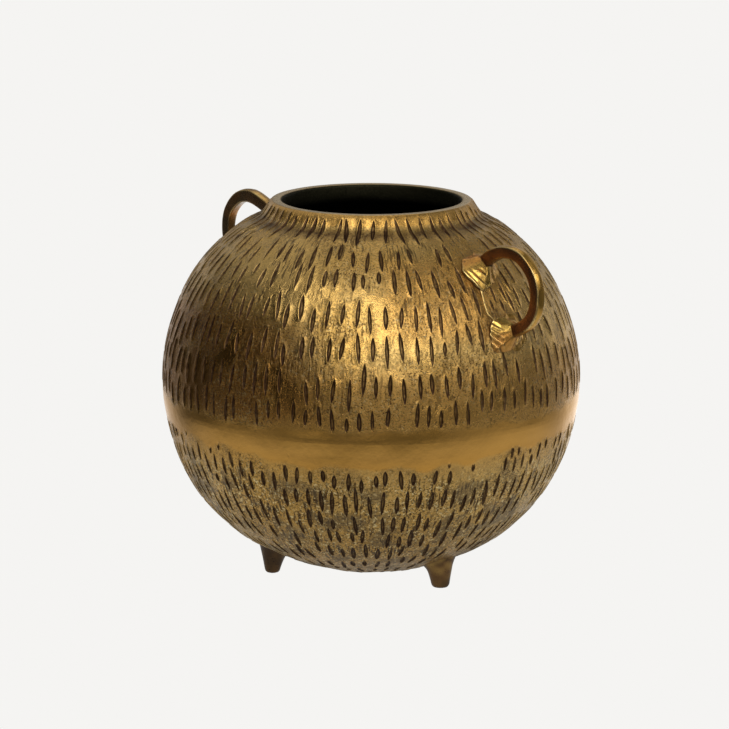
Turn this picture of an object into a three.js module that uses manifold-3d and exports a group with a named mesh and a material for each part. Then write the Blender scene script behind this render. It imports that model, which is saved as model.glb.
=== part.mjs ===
// A round, footed cast-brass vessel: two shells joined by a lapped and brazed seam just below the widest girth,
// two C-shaped ring handles held in flared lugs, and three short conical feet. Handles, lugs and feet are
// drawn on to the shells from inside by screws on washers.
// Millimetres, +Z up. The origin is on the floor, under the middle of the vessel. The handles lie on +X and -X.
import * as THREE from "three";
import { mergeVertices } from "three/addons/utils/BufferGeometryUtils.js";
import Module from "manifold-3d";

const wasm = await Module();
wasm.setup();

// ---- driving dimensions ----
const WALL = 3.2; // shell wall
const BASE_WALL = 4.2; // the flat base is a little heavier
const BELT = 4.8; // wall where the shells lap
const SEAM_Z = 109.0; // the seam is a little below the widest girth
const SEAM_R = 126.8;
const RIM_Z = 230.0;
const MOUTH_R = 54.1;
const RIM_R = 60.0;
const GAP = 0.3; // clearance between neighbouring pieces
const LATHE_SEGMENTS = 48;

const FOOT_COUNT = 3;
const FOOT_R = 61.8; // radius of the circle that the feet stand on
const FOOT_SCREW_R = 60.2; // radius at which a foot's screw crosses the shell

const BAR_RADIAL = 3.7; // half thickness of a handle's bar in the handle's plane
const BAR_SIDE = 3.5; // half thickness across the plane
const BAR_CHAMFER = 1.2;

const LUG_HEIGHT = 6.4;
const LUG_FLOOR = 1.9; // metal left under a handle's end

const SCREW_R = 2.0; // M4
const HOLE_R = 2.5; // clearance hole in shells and lugs
const TAP_R = 2.3; // hole in handle ends and feet
const HEAD_R = 3.8;
const HEAD_H = 2.5;
const WASHER_R = 4.9;
const WASHER_T = 0.9;
const SPOT_R = 5.6; // spot face that a washer sits in
const SPOT_DEPTH = 0.45;

// Outer profile as [radius, height], from the base to the seam and from the seam to the foot of the collar.
const LOWER = [
  [24, 3.4], [35, 5.45], [50, 10.6], [66.3, 17.75], [82.3, 27.2], [96.3, 39.5], [108, 54], [116.9, 70.3], [122.9, 87.7],
  [125.2, 98.4], [SEAM_R, SEAM_Z],
];
const UPPER = [
  [SEAM_R, SEAM_Z], [127.5, 123.5], [126.5, 137.0], [123.4, 151.0], [118, 166.3], [110.4, 181.7], [100.6, 195.4], [88.9, 207.1], [76.5, 216.0],
  [70.8, 218.8],
];
const COLLAR = [[66.8, 220.9], [64.6, 223.6], [62.6, 226.3], [61.1, 228.7], [59.9, RIM_Z]];

// The handles' centrelines as [radius, height]; the ends run straight into the lugs.
const LOOP = [
  [109.2, 211.6], [118, 212.9], [126.2, 211.2], [132.9, 206.6], [137.5, 200.6], [139.8, 193.6], [139.9, 186.4], [138.0, 179.6],
  [133.9, 173.9],
];
// They were set by hand: the left one stands a little higher and a little off the opposite side.
const HANDLES = [
  { name: "right", azimuth: 0, lift: 0, out: 0 },
  { name: "left", azimuth: THREE.MathUtils.degToRad(177.6), lift: 3.9, out: 0 },
];
const UPPER_END_Z = 201.6; // where the handle's ends meet the shell
const LOWER_END_Z = 165.6;

// ---- materials ----
const brass = (name, colour, roughness) => {
  const m = new THREE.MeshStandardMaterial({ color: colour, roughness, metalness: 1 });
  m.name = name;
  return m;
};
const shellBrass = brass("shell_brass", 0x8f6a2c, 0.38);
const seamBrass = brass("seam_brass", 0x9c7430, 0.3);
const handleBrass = brass("handle_brass", 0x7d5a22, 0.32);
const lugBrass = brass("lug_brass", 0xb08a3c, 0.28);
const footBrass = brass("foot_brass", 0x6d5222, 0.42);
const fastenerBrass = brass("fastener_brass", 0xb39347, 0.35);

// ---- helpers ----
const V2 = (r, z) => new THREE.Vector2(r, z);
const V3 = (x, y, z) => new THREE.Vector3(x, y, z);

function solid(geometry) {
  const g = geometry.index ? geometry.toNonIndexed() : geometry.clone();
  const bare = new THREE.BufferGeometry().setAttribute("position", g.getAttribute("position"));
  const merged = mergeVertices(bare, 1e-4);
  const kept = [];
  const idx = merged.index.array;
  for (let i = 0; i < idx.length; i += 3) {
    const [a, b, c] = [idx[i], idx[i + 1], idx[i + 2]];
    if (a !== b && b !== c && a !== c) kept.push(a, b, c);
  }
  const build = (tris) =>
    new wasm.Manifold(new wasm.Mesh({ numProp: 3, vertProperties: merged.attributes.position.array, triVerts: new Uint32Array(tris) }));
  const made = build(kept);
  if (made.volume() >= 0) return made;
  for (let i = 0; i < kept.length; i += 3) [kept[i + 1], kept[i + 2]] = [kept[i + 2], kept[i + 1]];
  return build(kept);
}

function geometryOf(manifold) {
  const m = manifold.getMesh();
  const n = m.numProp;
  const v = new Float32Array(m.numVert * 3);
  for (let i = 0; i < m.numVert; i++) v.set(m.vertProperties.subarray(i * n, i * n + 3), i * 3);
  const g = new THREE.BufferGeometry();
  g.setAttribute("position", new THREE.BufferAttribute(v, 3));
  g.setIndex(new THREE.BufferAttribute(new Uint32Array(m.triVerts), 1));
  g.computeVertexNormals();
  return g;
}

// A lathe about Z from [radius, height] points.
function turned(points, segments = LATHE_SEGMENTS) {
  const g = new THREE.LatheGeometry(points.map(([r, z]) => V2(Math.max(r, 0), z)), segments);
  g.rotateX(Math.PI / 2);
  return g;
}

// Moves a shape whose axis is +Z so that its axis runs along `axis` from `origin`, with its +Y kept level.
function placed(geometry, origin, axis, side) {
  const z = axis.clone().normalize();
  const y = side.clone().normalize();
  const x = new THREE.Vector3().crossVectors(y, z).normalize();
  const m = new THREE.Matrix4().makeBasis(x, y, z).setPosition(origin);
  return geometry.clone().applyMatrix4(m);
}

function offset(points, distance) {
  return points.map(([r, z], i) => {
    const a = points[Math.max(i - 1, 0)];
    const b = points[Math.min(i + 1, points.length - 1)];
    const t = V2(b[0] - a[0], b[1] - a[1]).normalize();
    const d = typeof distance === "function" ? distance(r, z) : distance;
    return [r + t.y * d, z - t.x * d];
  });
}

// Point and outward normal on the outer profile at a height.
const OUTER = [...LOWER, ...UPPER.slice(1)];
function onShell(height) {
  for (let i = 0; i < OUTER.length - 1; i++) {
    const [r0, z0] = OUTER[i];
    const [r1, z1] = OUTER[i + 1];
    if (height >= z0 && height <= z1 && z1 > z0) {
      const k = (height - z0) / (z1 - z0);
      const before = OUTER[Math.max(i - 1, 0)];
      const after = OUTER[Math.min(i + 2, OUTER.length - 1)];
      const t = V2((r1 - r0) * 2 + (1 - k) * (r0 - before[0]) + k * (after[0] - r1), (z1 - z0) * 2 + (1 - k) * (z0 - before[1]) + k * (after[1] - z1)).normalize();
      return { r: r0 + k * (r1 - r0), z: height, n: V2(t.y, -t.x) };
    }
  }
  throw new Error("no point on the shell at height " + height);
}
function heightAt(radius) {
  for (let i = 0; i < LOWER.length - 1; i++) {
    const [r0, z0] = LOWER[i];
    const [r1, z1] = LOWER[i + 1];
    if (radius >= r0 && radius <= r1) return z0 + ((radius - r0) / (r1 - r0)) * (z1 - z0);
  }
  throw new Error("no height at radius " + radius);
}

// A piece made in a handle's own plane (+X outwards) is turned to its azimuth by its mesh.
const root = new THREE.Group();
function add(parent, name, manifold, material) {
  const mesh = new THREE.Mesh(geometryOf(manifold), material);
  mesh.name = name;
  parent.add(mesh);
  return mesh;
}

// ---- fastening points: [origin on the outer surface, outward axis, level side vector] ----
const handleEnds = [];
for (const h of HANDLES) {
  for (const [which, z] of [["upper", UPPER_END_Z], ["lower", LOWER_END_Z]]) {
    const s = onShell(z + h.lift * 0.85);
    handleEnds.push({ handle: h, which, r: s.r, z: s.z, n: s.n });
  }
}
const footPoint = (() => {
  const s = onShell(heightAt(FOOT_SCREW_R));
  return { r: s.r, z: s.z, n: s.n };
})();

const LEVEL = V3(0, 1, 0);
const spin = (azimuth) => new THREE.Matrix4().makeRotationZ(azimuth);

// What a screw's fixing removes from a shell: its hole and the spot face inside.
function fixingCut(point, azimuth) {
  const axis = V3(point.n.x, 0, point.n.y);
  const origin = V3(point.r, 0, point.z);
  const hole = placed(new THREE.CylinderGeometry(HOLE_R, HOLE_R, 20, 12).rotateX(Math.PI / 2), origin, axis, LEVEL);
  const spot = new THREE.CylinderGeometry(SPOT_R, SPOT_R, 12, 16).rotateX(Math.PI / 2);
  spot.translate(0, 0, -WALL + SPOT_DEPTH - 6);
  return [hole, placed(spot, origin, axis, LEVEL)].map((g) => solid(g.applyMatrix4(spin(azimuth))));
}

// ---- shells ----
const wallAt = (r, z) => {
  const belt = THREE.MathUtils.smoothstep(18 - Math.abs(z - SEAM_Z), 0, 9);
  const base = THREE.MathUtils.smoothstep(60 - r, 0, 25) * (z < 20 ? 1 : 0);
  return WALL + (BELT - WALL) * belt + (BASE_WALL - WALL) * base;
};
const SEAM_IN = SEAM_R - BELT;
const SPIGOT_OUT = SEAM_R - 2.4;
const SPIGOT_TOP = SEAM_Z + 5.5;
const CHAMFER = 1.3; // half height of the brazed V

const lowerInner = offset(LOWER, (r, z) => -wallAt(r, z)).slice(0, -1);
const lowerProfile = [
  [0, LOWER[0][1]],
  ...LOWER.slice(0, -1),
  [SEAM_R - 0.02, SEAM_Z - CHAMFER - 0.42],
  [SEAM_R - CHAMFER - 0.27, SEAM_Z - 0.15],
  [SPIGOT_OUT, SEAM_Z - 0.15],
  [SPIGOT_OUT, SPIGOT_TOP],
  [SEAM_IN, SPIGOT_TOP],
  ...lowerInner.reverse().filter(([, z], i) => z < SEAM_Z - 4),
  [0, LOWER[0][1] + BASE_WALL],
];
let lowerShell = solid(turned(lowerProfile));

const upperInner = offset(UPPER, (r, z) => -wallAt(r, z)).filter(([r, z]) => z > SPIGOT_TOP + 2 && r > 66);
const upperProfile = [
  [SEAM_R - CHAMFER - 0.27, SEAM_Z + 0.15],
  [SEAM_R - 0.02, SEAM_Z + CHAMFER + 0.42],
  ...UPPER.slice(1),
  ...COLLAR,
  [MOUTH_R + 0.8, RIM_Z],
  [MOUTH_R, RIM_Z - 0.8],
  [MOUTH_R, 221.6],
  [55.4, 219.4],
  [58.4, 218.2],
  [62.5, 217.2],
  ...upperInner.reverse(),
  [SEAM_IN, SPIGOT_TOP + GAP],
  [SPIGOT_OUT + GAP, SPIGOT_TOP + GAP],
  [SPIGOT_OUT + GAP, SEAM_Z + 0.15],
  [SEAM_R - CHAMFER - 0.27, SEAM_Z + 0.15],
];
let upperShell = solid(turned(upperProfile));

for (const e of handleEnds) for (const cut of fixingCut(e, e.handle.azimuth)) upperShell = upperShell.subtract(cut);
const footAzimuths = Array.from({ length: FOOT_COUNT }, (_, i) => (i * 2 * Math.PI) / FOOT_COUNT);
for (const a of footAzimuths) for (const cut of fixingCut(footPoint, a)) lowerShell = lowerShell.subtract(cut);

add(root, "upper_shell", upperShell, shellBrass);
add(root, "lower_shell", lowerShell, shellBrass);

// The brazing metal that fills the V between the shells.
const brazeProfile = [
  [SEAM_R, SEAM_Z - CHAMFER],
  [SEAM_R, SEAM_Z + CHAMFER],
  [SEAM_R - CHAMFER, SEAM_Z],
  [SEAM_R, SEAM_Z - CHAMFER],
];
add(root, "belly_seam_braze", solid(turned(brazeProfile)), seamBrass);

// The vessel's outside grown by the clearance: lugs and feet are cut to it.
const grown = offset(OUTER, GAP);
const bodyGrown = (azimuth) => solid(turned([[0, LOWER[0][1] - GAP], ...grown, [0, grown[grown.length - 1][1]]]).rotateZ(-azimuth));

// ---- screws and washers ----
// The shank's axis is +Z, the shell's outer surface is z = 0.
function screwSolid(length) {
  const seat = -WALL + SPOT_DEPTH - GAP - WASHER_T - GAP; // under the head
  const profile = [
    [0, seat - HEAD_H], [HEAD_R * 0.8, seat - HEAD_H], [HEAD_R, seat - HEAD_H * 0.5], [HEAD_R, seat], [SCREW_R, seat],
    [SCREW_R, seat + length], [0, seat + length],
  ];
  const slot = new THREE.BoxGeometry(HEAD_R * 3, 1.1, 2.2);
  slot.translate(0, 0, seat - HEAD_H);
  return solid(turned(profile, 12)).subtract(solid(slot));
}
function washerSolid() {
  const top = -WALL + SPOT_DEPTH - GAP;
  return solid(turned([[HOLE_R, top - WASHER_T], [WASHER_R, top - WASHER_T], [WASHER_R, top], [HOLE_R, top], [HOLE_R, top - WASHER_T]], 12));
}
function addFixing(parent, name, point, length) {
  const axis = V3(point.n.x, 0, point.n.y);
  const origin = V3(point.r, 0, point.z);
  const basis = new THREE.Matrix4().makeBasis(new THREE.Vector3().crossVectors(LEVEL, axis).normalize(), LEVEL, axis.clone().normalize()).setPosition(origin);
  const q = new THREE.Quaternion().setFromRotationMatrix(basis);
  for (const [what, s] of [["screw", screwSolid(length)], ["washer", washerSolid()]]) {
    const mesh = add(parent, name + "_" + what, s, fastenerBrass);
    mesh.position.copy(origin);
    mesh.quaternion.copy(q);
  }
}

// ---- handles ----
function barSection(grow) {
  const [a, b, c] = [BAR_RADIAL + grow, BAR_SIDE + grow, BAR_CHAMFER];
  return new THREE.Shape([V2(a, -b + c), V2(a, b - c), V2(a - c, b), V2(-a + c, b), V2(-a, b - c), V2(-a, -b + c), V2(-a + c, -b), V2(a - c, -b)]);
}

// A lug's rings from the lip down: [height, half width across the handle's plane, half width in the plane, shift towards the loop's inside].
const LUG_RINGS = [
  [LUG_HEIGHT, 5.6, 5.7, 0.0],
  [LUG_HEIGHT - 2.0, 7.1, 6.8, 0.5],
  [2.4, 10.2, 8.6, 1.6],
  [1.1, 14.0, 10.9, 3.0],
  [0.0, 17.6, 13.0, 4.0],
  [-4.0, 17.6, 13.0, 4.0],
];
function lugSolid(inward) {
  const rings = LUG_RINGS.slice().reverse();
  const points = [[0, -4.0], ...rings.map(([h]) => [1, h]), [0, LUG_HEIGHT]];
  const g = turned(points, 20);
  const p = g.getAttribute("position");
  for (let i = 0; i < p.count; i++) {
    const h = p.getZ(i);
    const ring = rings.find(([k]) => Math.abs(k - h) < 1e-3);
    const on = Math.hypot(p.getX(i), p.getY(i)) > 0.5;
    const x = on ? p.getX(i) * ring[2] + inward * ring[3] : inward * ring[3];
    const y = on ? p.getY(i) * ring[1] : 0;
    const fall = h > 2.4 ? 0 : (x * x + y * y) / (2 * 124);
    p.setXYZ(i, x, y, h - fall);
  }
  return g;
}

for (const h of HANDLES) {
  const side = new THREE.Group();
  side.rotation.z = h.azimuth;
  root.add(side);
  const [up, low] = handleEnds.filter((e) => e.handle === h);
  const at = (e, d) => V3(e.r + e.n.x * d, 0, e.z + e.n.y * d);
  const foot = LUG_FLOOR + GAP;
  const path = new THREE.CatmullRomCurve3(
    [at(up, foot), at(up, foot + 2.6), at(up, foot + 5.2), ...LOOP.map(([r, z]) => V3(r + h.out, 0, z + h.lift)), at(low, foot + 5.2), at(low, foot + 2.6), at(low, foot)],
    false,
    "centripetal",
  );
  const bar = new THREE.ExtrudeGeometry(barSection(0), { steps: 26, extrudePath: path, curveSegments: 1 });
  let ring = solid(bar);
  for (const e of [up, low]) {
    const tap = new THREE.CylinderGeometry(TAP_R, TAP_R, 9.2, 12).rotateX(Math.PI / 2);
    tap.translate(0, 0, foot + 9.2 / 2 - 1);
    ring = ring.subtract(solid(placed(tap, at(e, 0), V3(e.n.x, 0, e.n.y), LEVEL)));
  }
  add(side, h.name + "_handle_ring", ring, handleBrass);

  for (const e of [up, low]) {
    const axis = V3(e.n.x, 0, e.n.y);
    const origin = at(e, 0);
    // In the lug's own frame +X points down the shell.
    let lug = solid(placed(lugSolid(e.which === "upper" ? 1 : -1), origin, axis, LEVEL));
    lug = lug.subtract(bodyGrown(h.azimuth));
    const pocket = new THREE.ExtrudeGeometry(barSection(GAP), { depth: 12, bevelEnabled: false, curveSegments: 1 });
    pocket.translate(0, 0, LUG_FLOOR);
    lug = lug.subtract(solid(placed(pocket, origin, axis, LEVEL)));
    lug = lug.subtract(solid(placed(new THREE.CylinderGeometry(HOLE_R, HOLE_R, 12, 12).rotateX(Math.PI / 2), origin, axis, LEVEL)));
    add(side, `${h.name}_${e.which}_lug`, lug, lugBrass);
    addFixing(side, `${h.name}_${e.which}_lug`, e, 14);
  }
}

// ---- feet ----
const FOOT_NAMES = ["right_foot", "rear_left_foot", "front_left_foot"];
const FOOT_CONE = [
  [0, 0], [3.4, 0], [4.7, 1.1], [5.6, 5.0], [6.6, 9.8], [8.2, 15], [8.2, 20], [0, 20],
];
const FOOT_FLARE = [[0, -5], [11.2, -5], [11.0, 0], [9.2, 1.1], [7.8, 3.4], [6.2, 5.2], [0, 5.2]];
footAzimuths.forEach((a, i) => {
  const side = new THREE.Group();
  side.rotation.z = a;
  root.add(side);
  const s = onShell(heightAt(FOOT_R));
  const cone = turned(FOOT_CONE, 16);
  cone.translate(FOOT_R, 0, 0);
  const flare = placed(turned(FOOT_FLARE, 16), V3(s.r, 0, s.z), V3(s.n.x, 0, s.n.y), LEVEL);
  let foot = solid(cone).add(solid(flare)).subtract(bodyGrown(a));
  const tap = new THREE.CylinderGeometry(TAP_R, TAP_R, 14, 12).rotateX(Math.PI / 2);
  tap.translate(0, 0, 8.6 - 7);
  foot = foot.subtract(solid(placed(tap, V3(footPoint.r, 0, footPoint.z), V3(footPoint.n.x, 0, footPoint.n.y), LEVEL)));
  add(side, FOOT_NAMES[i], foot, footBrass);
  addFixing(side, FOOT_NAMES[i], footPoint, 11.5);
});

export default root;
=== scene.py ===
import math
import bpy
import numpy as np
from mathutils import Matrix, Vector
from mathutils.geometry import delaunay_2d_cdt


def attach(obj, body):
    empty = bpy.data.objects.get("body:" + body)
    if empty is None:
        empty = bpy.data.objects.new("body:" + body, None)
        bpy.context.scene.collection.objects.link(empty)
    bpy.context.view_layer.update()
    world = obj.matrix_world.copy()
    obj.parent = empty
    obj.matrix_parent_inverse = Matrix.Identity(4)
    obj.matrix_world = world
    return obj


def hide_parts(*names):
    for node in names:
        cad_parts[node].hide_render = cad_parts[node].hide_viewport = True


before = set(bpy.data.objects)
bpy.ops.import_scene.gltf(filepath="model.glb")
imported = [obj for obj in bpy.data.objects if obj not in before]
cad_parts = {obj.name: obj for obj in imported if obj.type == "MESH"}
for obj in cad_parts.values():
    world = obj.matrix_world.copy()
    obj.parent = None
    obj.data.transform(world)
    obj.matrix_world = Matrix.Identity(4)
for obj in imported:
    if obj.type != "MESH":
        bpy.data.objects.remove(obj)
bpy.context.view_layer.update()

MM = 0.001
rng = np.random.default_rng(20417)

# ------------------------------------------------------------------ sizes, in millimetres
SEAM_Z = 109.0
SEAM_HALF = 1.3          # half width of the brazed ring where it shows
WALL, BASE_WALL, BELT = 3.2, 4.2, 4.8
RIM_Z, MOUTH_R = 230.0, 54.1
FOOT_R = 61.8

PROFILE = [
    (0.0, 3.4), (10.0, 3.4), (18.0, 3.4), (22.5, 3.42), (26.5, 3.75), (31.9, 4.55), (40.7, 7.2), (49.4, 10.3),
    (57.9, 13.75), (66.3, 17.65), (74.5, 22.05), (82.3, 27.15), (89.6, 33.0), (96.3, 39.5), (102.5, 46.5), (108.0, 54.0),
    (112.8, 62.0), (116.9, 70.3), (120.3, 78.9), (122.9, 87.7), (124.9, 96.65), (126.35, 105.6), (127.15, 114.6),
    (127.4, 123.6), (126.95, 132.5), (125.7, 141.3), (123.7, 149.9), (121.1, 158.2), (118.0, 166.3), (114.5, 174.1),
    (110.4, 181.65), (105.8, 188.75), (100.65, 195.4), (95.0, 201.5), (88.9, 207.1), (82.5, 212.15), (77.0, 215.7),
    (72.6, 218.0), (69.6, 219.35), (67.9, 220.25), (66.7, 221.35), (65.6, 222.75), (64.5, 224.4), (63.4, 226.0), (62.3, 227.6), (61.5, 228.75),
    (60.9, 229.4), (60.2, 229.75),
]


def spline(points, step=0.5):
    """Centripetal Catmull-Rom through the points, resampled at an even step. Returns an array."""
    p = np.array(points, float)
    p = np.vstack([2 * p[0] - p[1], p, 2 * p[-1] - p[-2]])
    out = []
    for i in range(1, len(p) - 2):
        a, b, c, d = p[i - 1:i + 3]
        t1 = max(np.linalg.norm(b - a), 1e-9) ** 0.5
        t2 = t1 + max(np.linalg.norm(c - b), 1e-9) ** 0.5
        t3 = t2 + max(np.linalg.norm(d - c), 1e-9) ** 0.5
        t = np.linspace(t1, t2, 33)[:-1, None]
        A1 = (t1 - t) / t1 * a + t / t1 * b
        A2 = (t2 - t) / (t2 - t1) * b + (t - t1) / (t2 - t1) * c
        A3 = (t3 - t) / (t3 - t2) * c + (t - t2) / (t3 - t2) * d
        B1 = (t2 - t) / t2 * A1 + t / t2 * A2
        B2 = (t3 - t) / (t3 - t1) * A2 + (t - t1) / (t3 - t1) * A3
        out.append((t2 - t) / (t2 - t1) * B1 + (t - t1) / (t2 - t1) * B2)
    out.append(p[-2][None])
    q = np.vstack(out)
    s = np.r_[0, np.cumsum(np.linalg.norm(np.diff(q, axis=0), axis=1))]
    n = max(int(round(s[-1] / step)), 2)
    ss = np.linspace(0, s[-1], n + 1)
    return np.stack([np.interp(ss, s, q[:, k]) for k in range(q.shape[1])], 1)


PR = spline(PROFILE, 0.25)
PS = np.r_[0, np.cumsum(np.linalg.norm(np.diff(PR, axis=0), axis=1))]
PS -= np.interp(SEAM_Z, PR[:, 1], PS)
_t = np.gradient(PR, axis=0)
_t /= np.linalg.norm(_t, axis=1)[:, None]
PN = np.stack([_t[:, 1], -_t[:, 0]], 1)
S_LOW, S_TOP = PS[0], PS[-1]


def at(s):
    """Radius, height and outward normal (in the r, z plane) on the body at an arc length from the seam."""
    s = np.asarray(s, float)
    return (np.interp(s, PS, PR[:, 0]), np.interp(s, PS, PR[:, 1]), np.interp(s, PS, PN[:, 0]), np.interp(s, PS, PN[:, 1]))


def s_of_z(z):
    return float(np.interp(z, PR[60:, 1], PS[60:]))


def s_of_r_low(r):
    k = PS < 0
    return float(np.interp(r, PR[k, 0], PS[k]))


def waves(count, lo, hi, seed):
    """A smooth random field of 3D position (mm): a sum of plane waves with lengths from lo to hi mm. About -1 to 1."""
    g = np.random.default_rng(seed)
    k = g.normal(size=(count, 3))
    k /= np.linalg.norm(k, axis=1)[:, None]
    k *= (2 * math.pi / np.exp(g.uniform(math.log(lo), math.log(hi), count)))[:, None]
    ph = g.uniform(0, 2 * math.pi, count)

    def f(p):
        return np.sin(p @ k.T + ph).sum(1) / math.sqrt(count) / 1.3

    return f


dents = waves(20, 22, 64, 5)
small_dents = waves(22, 9, 18, 6)
ragged = waves(16, 14, 45, 7)


def body_point(s, th, h=0.0):
    r, z, nr, nz = at(s)
    rr = r + nr * h
    return np.stack([rr * np.cos(th), rr * np.sin(th), z + nz * h], -1)


def ground(s, p):
    """How much the polished band takes off the surface, 0 to 1, with a ragged edge that dips on one side."""
    w = ragged(p)
    th = np.arctan2(p[..., 1], p[..., 0])
    reach = 12.3 + 4.6 * np.clip(np.cos(th + 0.60), -0.3, 1) ** 3 + 1.6 * np.cos(2 * th + 2.0)
    up = np.clip((9.0 + 1.8 * w - s) / 5.2, 0, 1)
    dn = np.clip((s + reach + 1.4 + 2.6 * w) / 4.0, 0, 1)
    e = np.minimum(up, dn)
    return e * e * (3 - 2 * e)


def rubbed(s):
    """How smooth the collar's face is rubbed, 0 to 0.7."""
    return 0.7 * np.clip((np.asarray(s, float) - s_of_z(221.4)) / 2.0, 0, 1)


def relief(s, th):
    """Slow hand-made unevenness of the skin, always inwards, in mm."""
    p = body_point(s, th)
    d = 0.26 * dents(p) + 0.045 * small_dents(p)
    calm = np.clip((S_TOP - np.asarray(s)) / 6.0, 0, 1) * np.clip(np.abs(s) / 9.0, 0.12, 1)
    d = np.minimum(d * calm - 0.30 * calm, 0.0)
    return d


# ------------------------------------------------------------------ helpers
def make_object(name, verts, faces, attrs=None, smooth=True, sharp=None, slot=None, replaces=(), material=None):
    me = bpy.data.meshes.new(name)
    me.from_pydata([tuple(v) for v in (np.asarray(verts) * MM).tolist()], [], faces)
    me.validate(clean_customdata=False)
    me.polygons.foreach_set("use_smooth", np.full(len(me.polygons), smooth))
    for k, v in (attrs or {}).items():
        a = me.attributes.new(k, "FLOAT", "POINT")
        a.data.foreach_set("value", np.asarray(v, np.float32))
    if sharp:
        at_ = me.attributes.new("sharp_edge", "BOOLEAN", "EDGE")
        flags = np.zeros(len(me.edges), bool)
        ek = {}
        ev = np.empty(len(me.edges) * 2, np.int32)
        me.edges.foreach_get("vertices", ev)
        ev = ev.reshape(-1, 2)
        lo = ev.min(1).astype(np.int64)
        hi = ev.max(1).astype(np.int64)
        key = lo * 10_000_000 + hi
        want = np.array([min(a, b) * 10_000_000 + max(a, b) for a, b in sharp], np.int64)
        flags = np.isin(key, want)
        at_.data.foreach_set("value", flags)
    me.update()
    o = bpy.data.objects.new(name, me)
    bpy.context.scene.collection.objects.link(o)
    if material is not None:
        me.materials.append(material)
    if replaces:
        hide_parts(*replaces)
    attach(o, "root")
    return o


class Mesh:
    """Gathers vertices, faces and per-vertex values."""

    def __init__(self):
        self.v, self.f, self.a, self.sharp = [], [], {}, []
        self.n = 0

    def add(self, verts, **attrs):
        verts = np.asarray(verts, float).reshape(-1, 3)
        i = self.n
        self.v.append(verts)
        self.n += len(verts)
        for k in set(self.a) | set(attrs):
            if k not in self.a:
                self.a[k] = [np.zeros(i)] if i else []
            val = attrs.get(k, 0.0)
            self.a[k].append(np.broadcast_to(np.asarray(val, float), (len(verts),)).copy())
        return np.arange(i, self.n)

    def strip(self, A, B, close=True, flip=False):
        """Quads between two rings of equal length."""
        n = len(A)
        for i in range(n if close else n - 1):
            j = (i + 1) % n
            q = (int(A[i]), int(A[j]), int(B[j]), int(B[i]))
            self.f.append(q[::-1] if flip else q)

    def fan(self, ring, centre, flip=False):
        n = len(ring)
        for i in range(n):
            t = (int(ring[i]), int(ring[(i + 1) % n]), int(centre))
            self.f.append(t[::-1] if flip else t)

    def build(self, name, **kw):
        return make_object(name, np.vstack(self.v), self.f, {k: np.concatenate(v) for k, v in self.a.items()}, sharp=self.sharp, **kw)

    def mark_ring(self, ring, close=True):
        n = len(ring)
        for i in range(n if close else n - 1):
            self.sharp.append((int(ring[i]), int(ring[(i + 1) % n])))


# ------------------------------------------------------------------ handles and lugs: where they are
HANDLES = {"right": (0.0, 0.0), "left": (math.radians(177.6), 3.9)}
LOOP = [(109.2, 211.6), (118, 212.9), (126.2, 211.2), (132.9, 206.6), (137.5, 200.6), (139.8, 193.6), (139.9, 186.4),
        (138.0, 179.6), (133.9, 173.9)]
ENDS = {}
for name, (az, lift) in HANDLES.items():
    ENDS[name] = {"upper": s_of_z(201.6 + lift * 0.85), "lower": s_of_z(165.6 + lift * 0.85)}
FEET = {"right_foot": 0.0, "rear_left_foot": math.radians(120), "front_left_foot": math.radians(240)}
S_FOOT = s_of_r_low(FOOT_R)


def keep_out(s, th):
    """True where a lug or a foot stands, with the smooth ground round it."""
    r = at(s)[0]
    bad = np.zeros(np.shape(s), bool)
    for name, (az, lift) in HANDLES.items():
        d = (th - az + math.pi) % (2 * math.pi) - math.pi
        b = d * r * (-1 if name == "left" else 1)
        for which, sign in (("upper", -1), ("lower", 1)):
            a = (s - ENDS[name][which]) * sign
            wide = np.where(b < 0, 18.8, 12.0)
            bad |= ((a - 2.0) / 14.0) ** 2 + (b / wide) ** 2 < 1
        # the bead beside the loop
        mid = 0.5 * (ENDS[name]["upper"] + ENDS[name]["lower"])
        bad |= (np.abs(s - mid) < 20) & (np.abs(b + 11.5) < 2.6)
    for az in FEET.values():
        d = (th - az + math.pi) % (2 * math.pi) - math.pi
        bad |= ((s - S_FOOT) / 15.5) ** 2 + (d * r / 15.0) ** 2 < 1
    return bad


# ------------------------------------------------------------------ chisel marks
NR = 18
PHI = np.arange(NR) * 2 * math.pi / NR
LENS = np.sign(np.sin(PHI)) * np.abs(np.sin(PHI)) ** 1.35
LONG = np.cos(PHI)

ROWS_UP = [(135.2, 7.5, 9.7), (114.8, 8.0, 8.2), (95.5, 8.2, 8.6), (75.5, 8.3, 8.8), (55.0, 8.4, 8.8), (34.8, 8.3, 8.6), (15.8, 8.1, 7.6)]
ROWS_LOW = [(-12.0, 8.6, 4.8), (-21.5, 7.6, 6.0), (-36.5, 7.2, 8.4), (-54.0, 7.1, 8.6), (-71.5, 7.0, 8.4), (-89.0, 7.0, 8.2), (-106.0, 7.0, 8.0), (-123.0, 7.2, 7.4), (-140.0, 7.4, 6.4)]


def lay_marks(rows, s_min, s_max, seed, broad=(1.05, 1.45)):
    g = np.random.default_rng(seed)
    marks = []
    phase = 0.0
    for s0, spacing, half in rows:
        r = float(at(s0)[0])
        n = int(round(2 * math.pi * r / spacing))
        phase += 0.5 + g.uniform(-0.1, 0.1)
        w1, w2 = g.uniform(0, 2 * math.pi, 2)
        for i in range(n):
            th = (i + phase + g.normal(0, 0.10)) * 2 * math.pi / n
            collar = s0 > 125
            s = s0 + (0 if collar else 2.4 * math.sin(2 * th + w1) + 1.6 * math.sin(5 * th + w2)) + g.normal(0, 1.0 if collar else 2.7)
            a = half * g.uniform(0.74, 1.22)
            b = g.uniform(*broad)
            dep = g.uniform(0.8, 1.15)
            tilt = g.normal(0, 0.055)
            s = min(max(s, s_min + a + 1.2), s_max - a - 1.2)
            if g.uniform() < (0.22 if -15 < s0 < 0 else 0.015):
                continue
            marks.append([s, th % (2 * math.pi), a, b, dep, tilt])
    return marks


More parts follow.
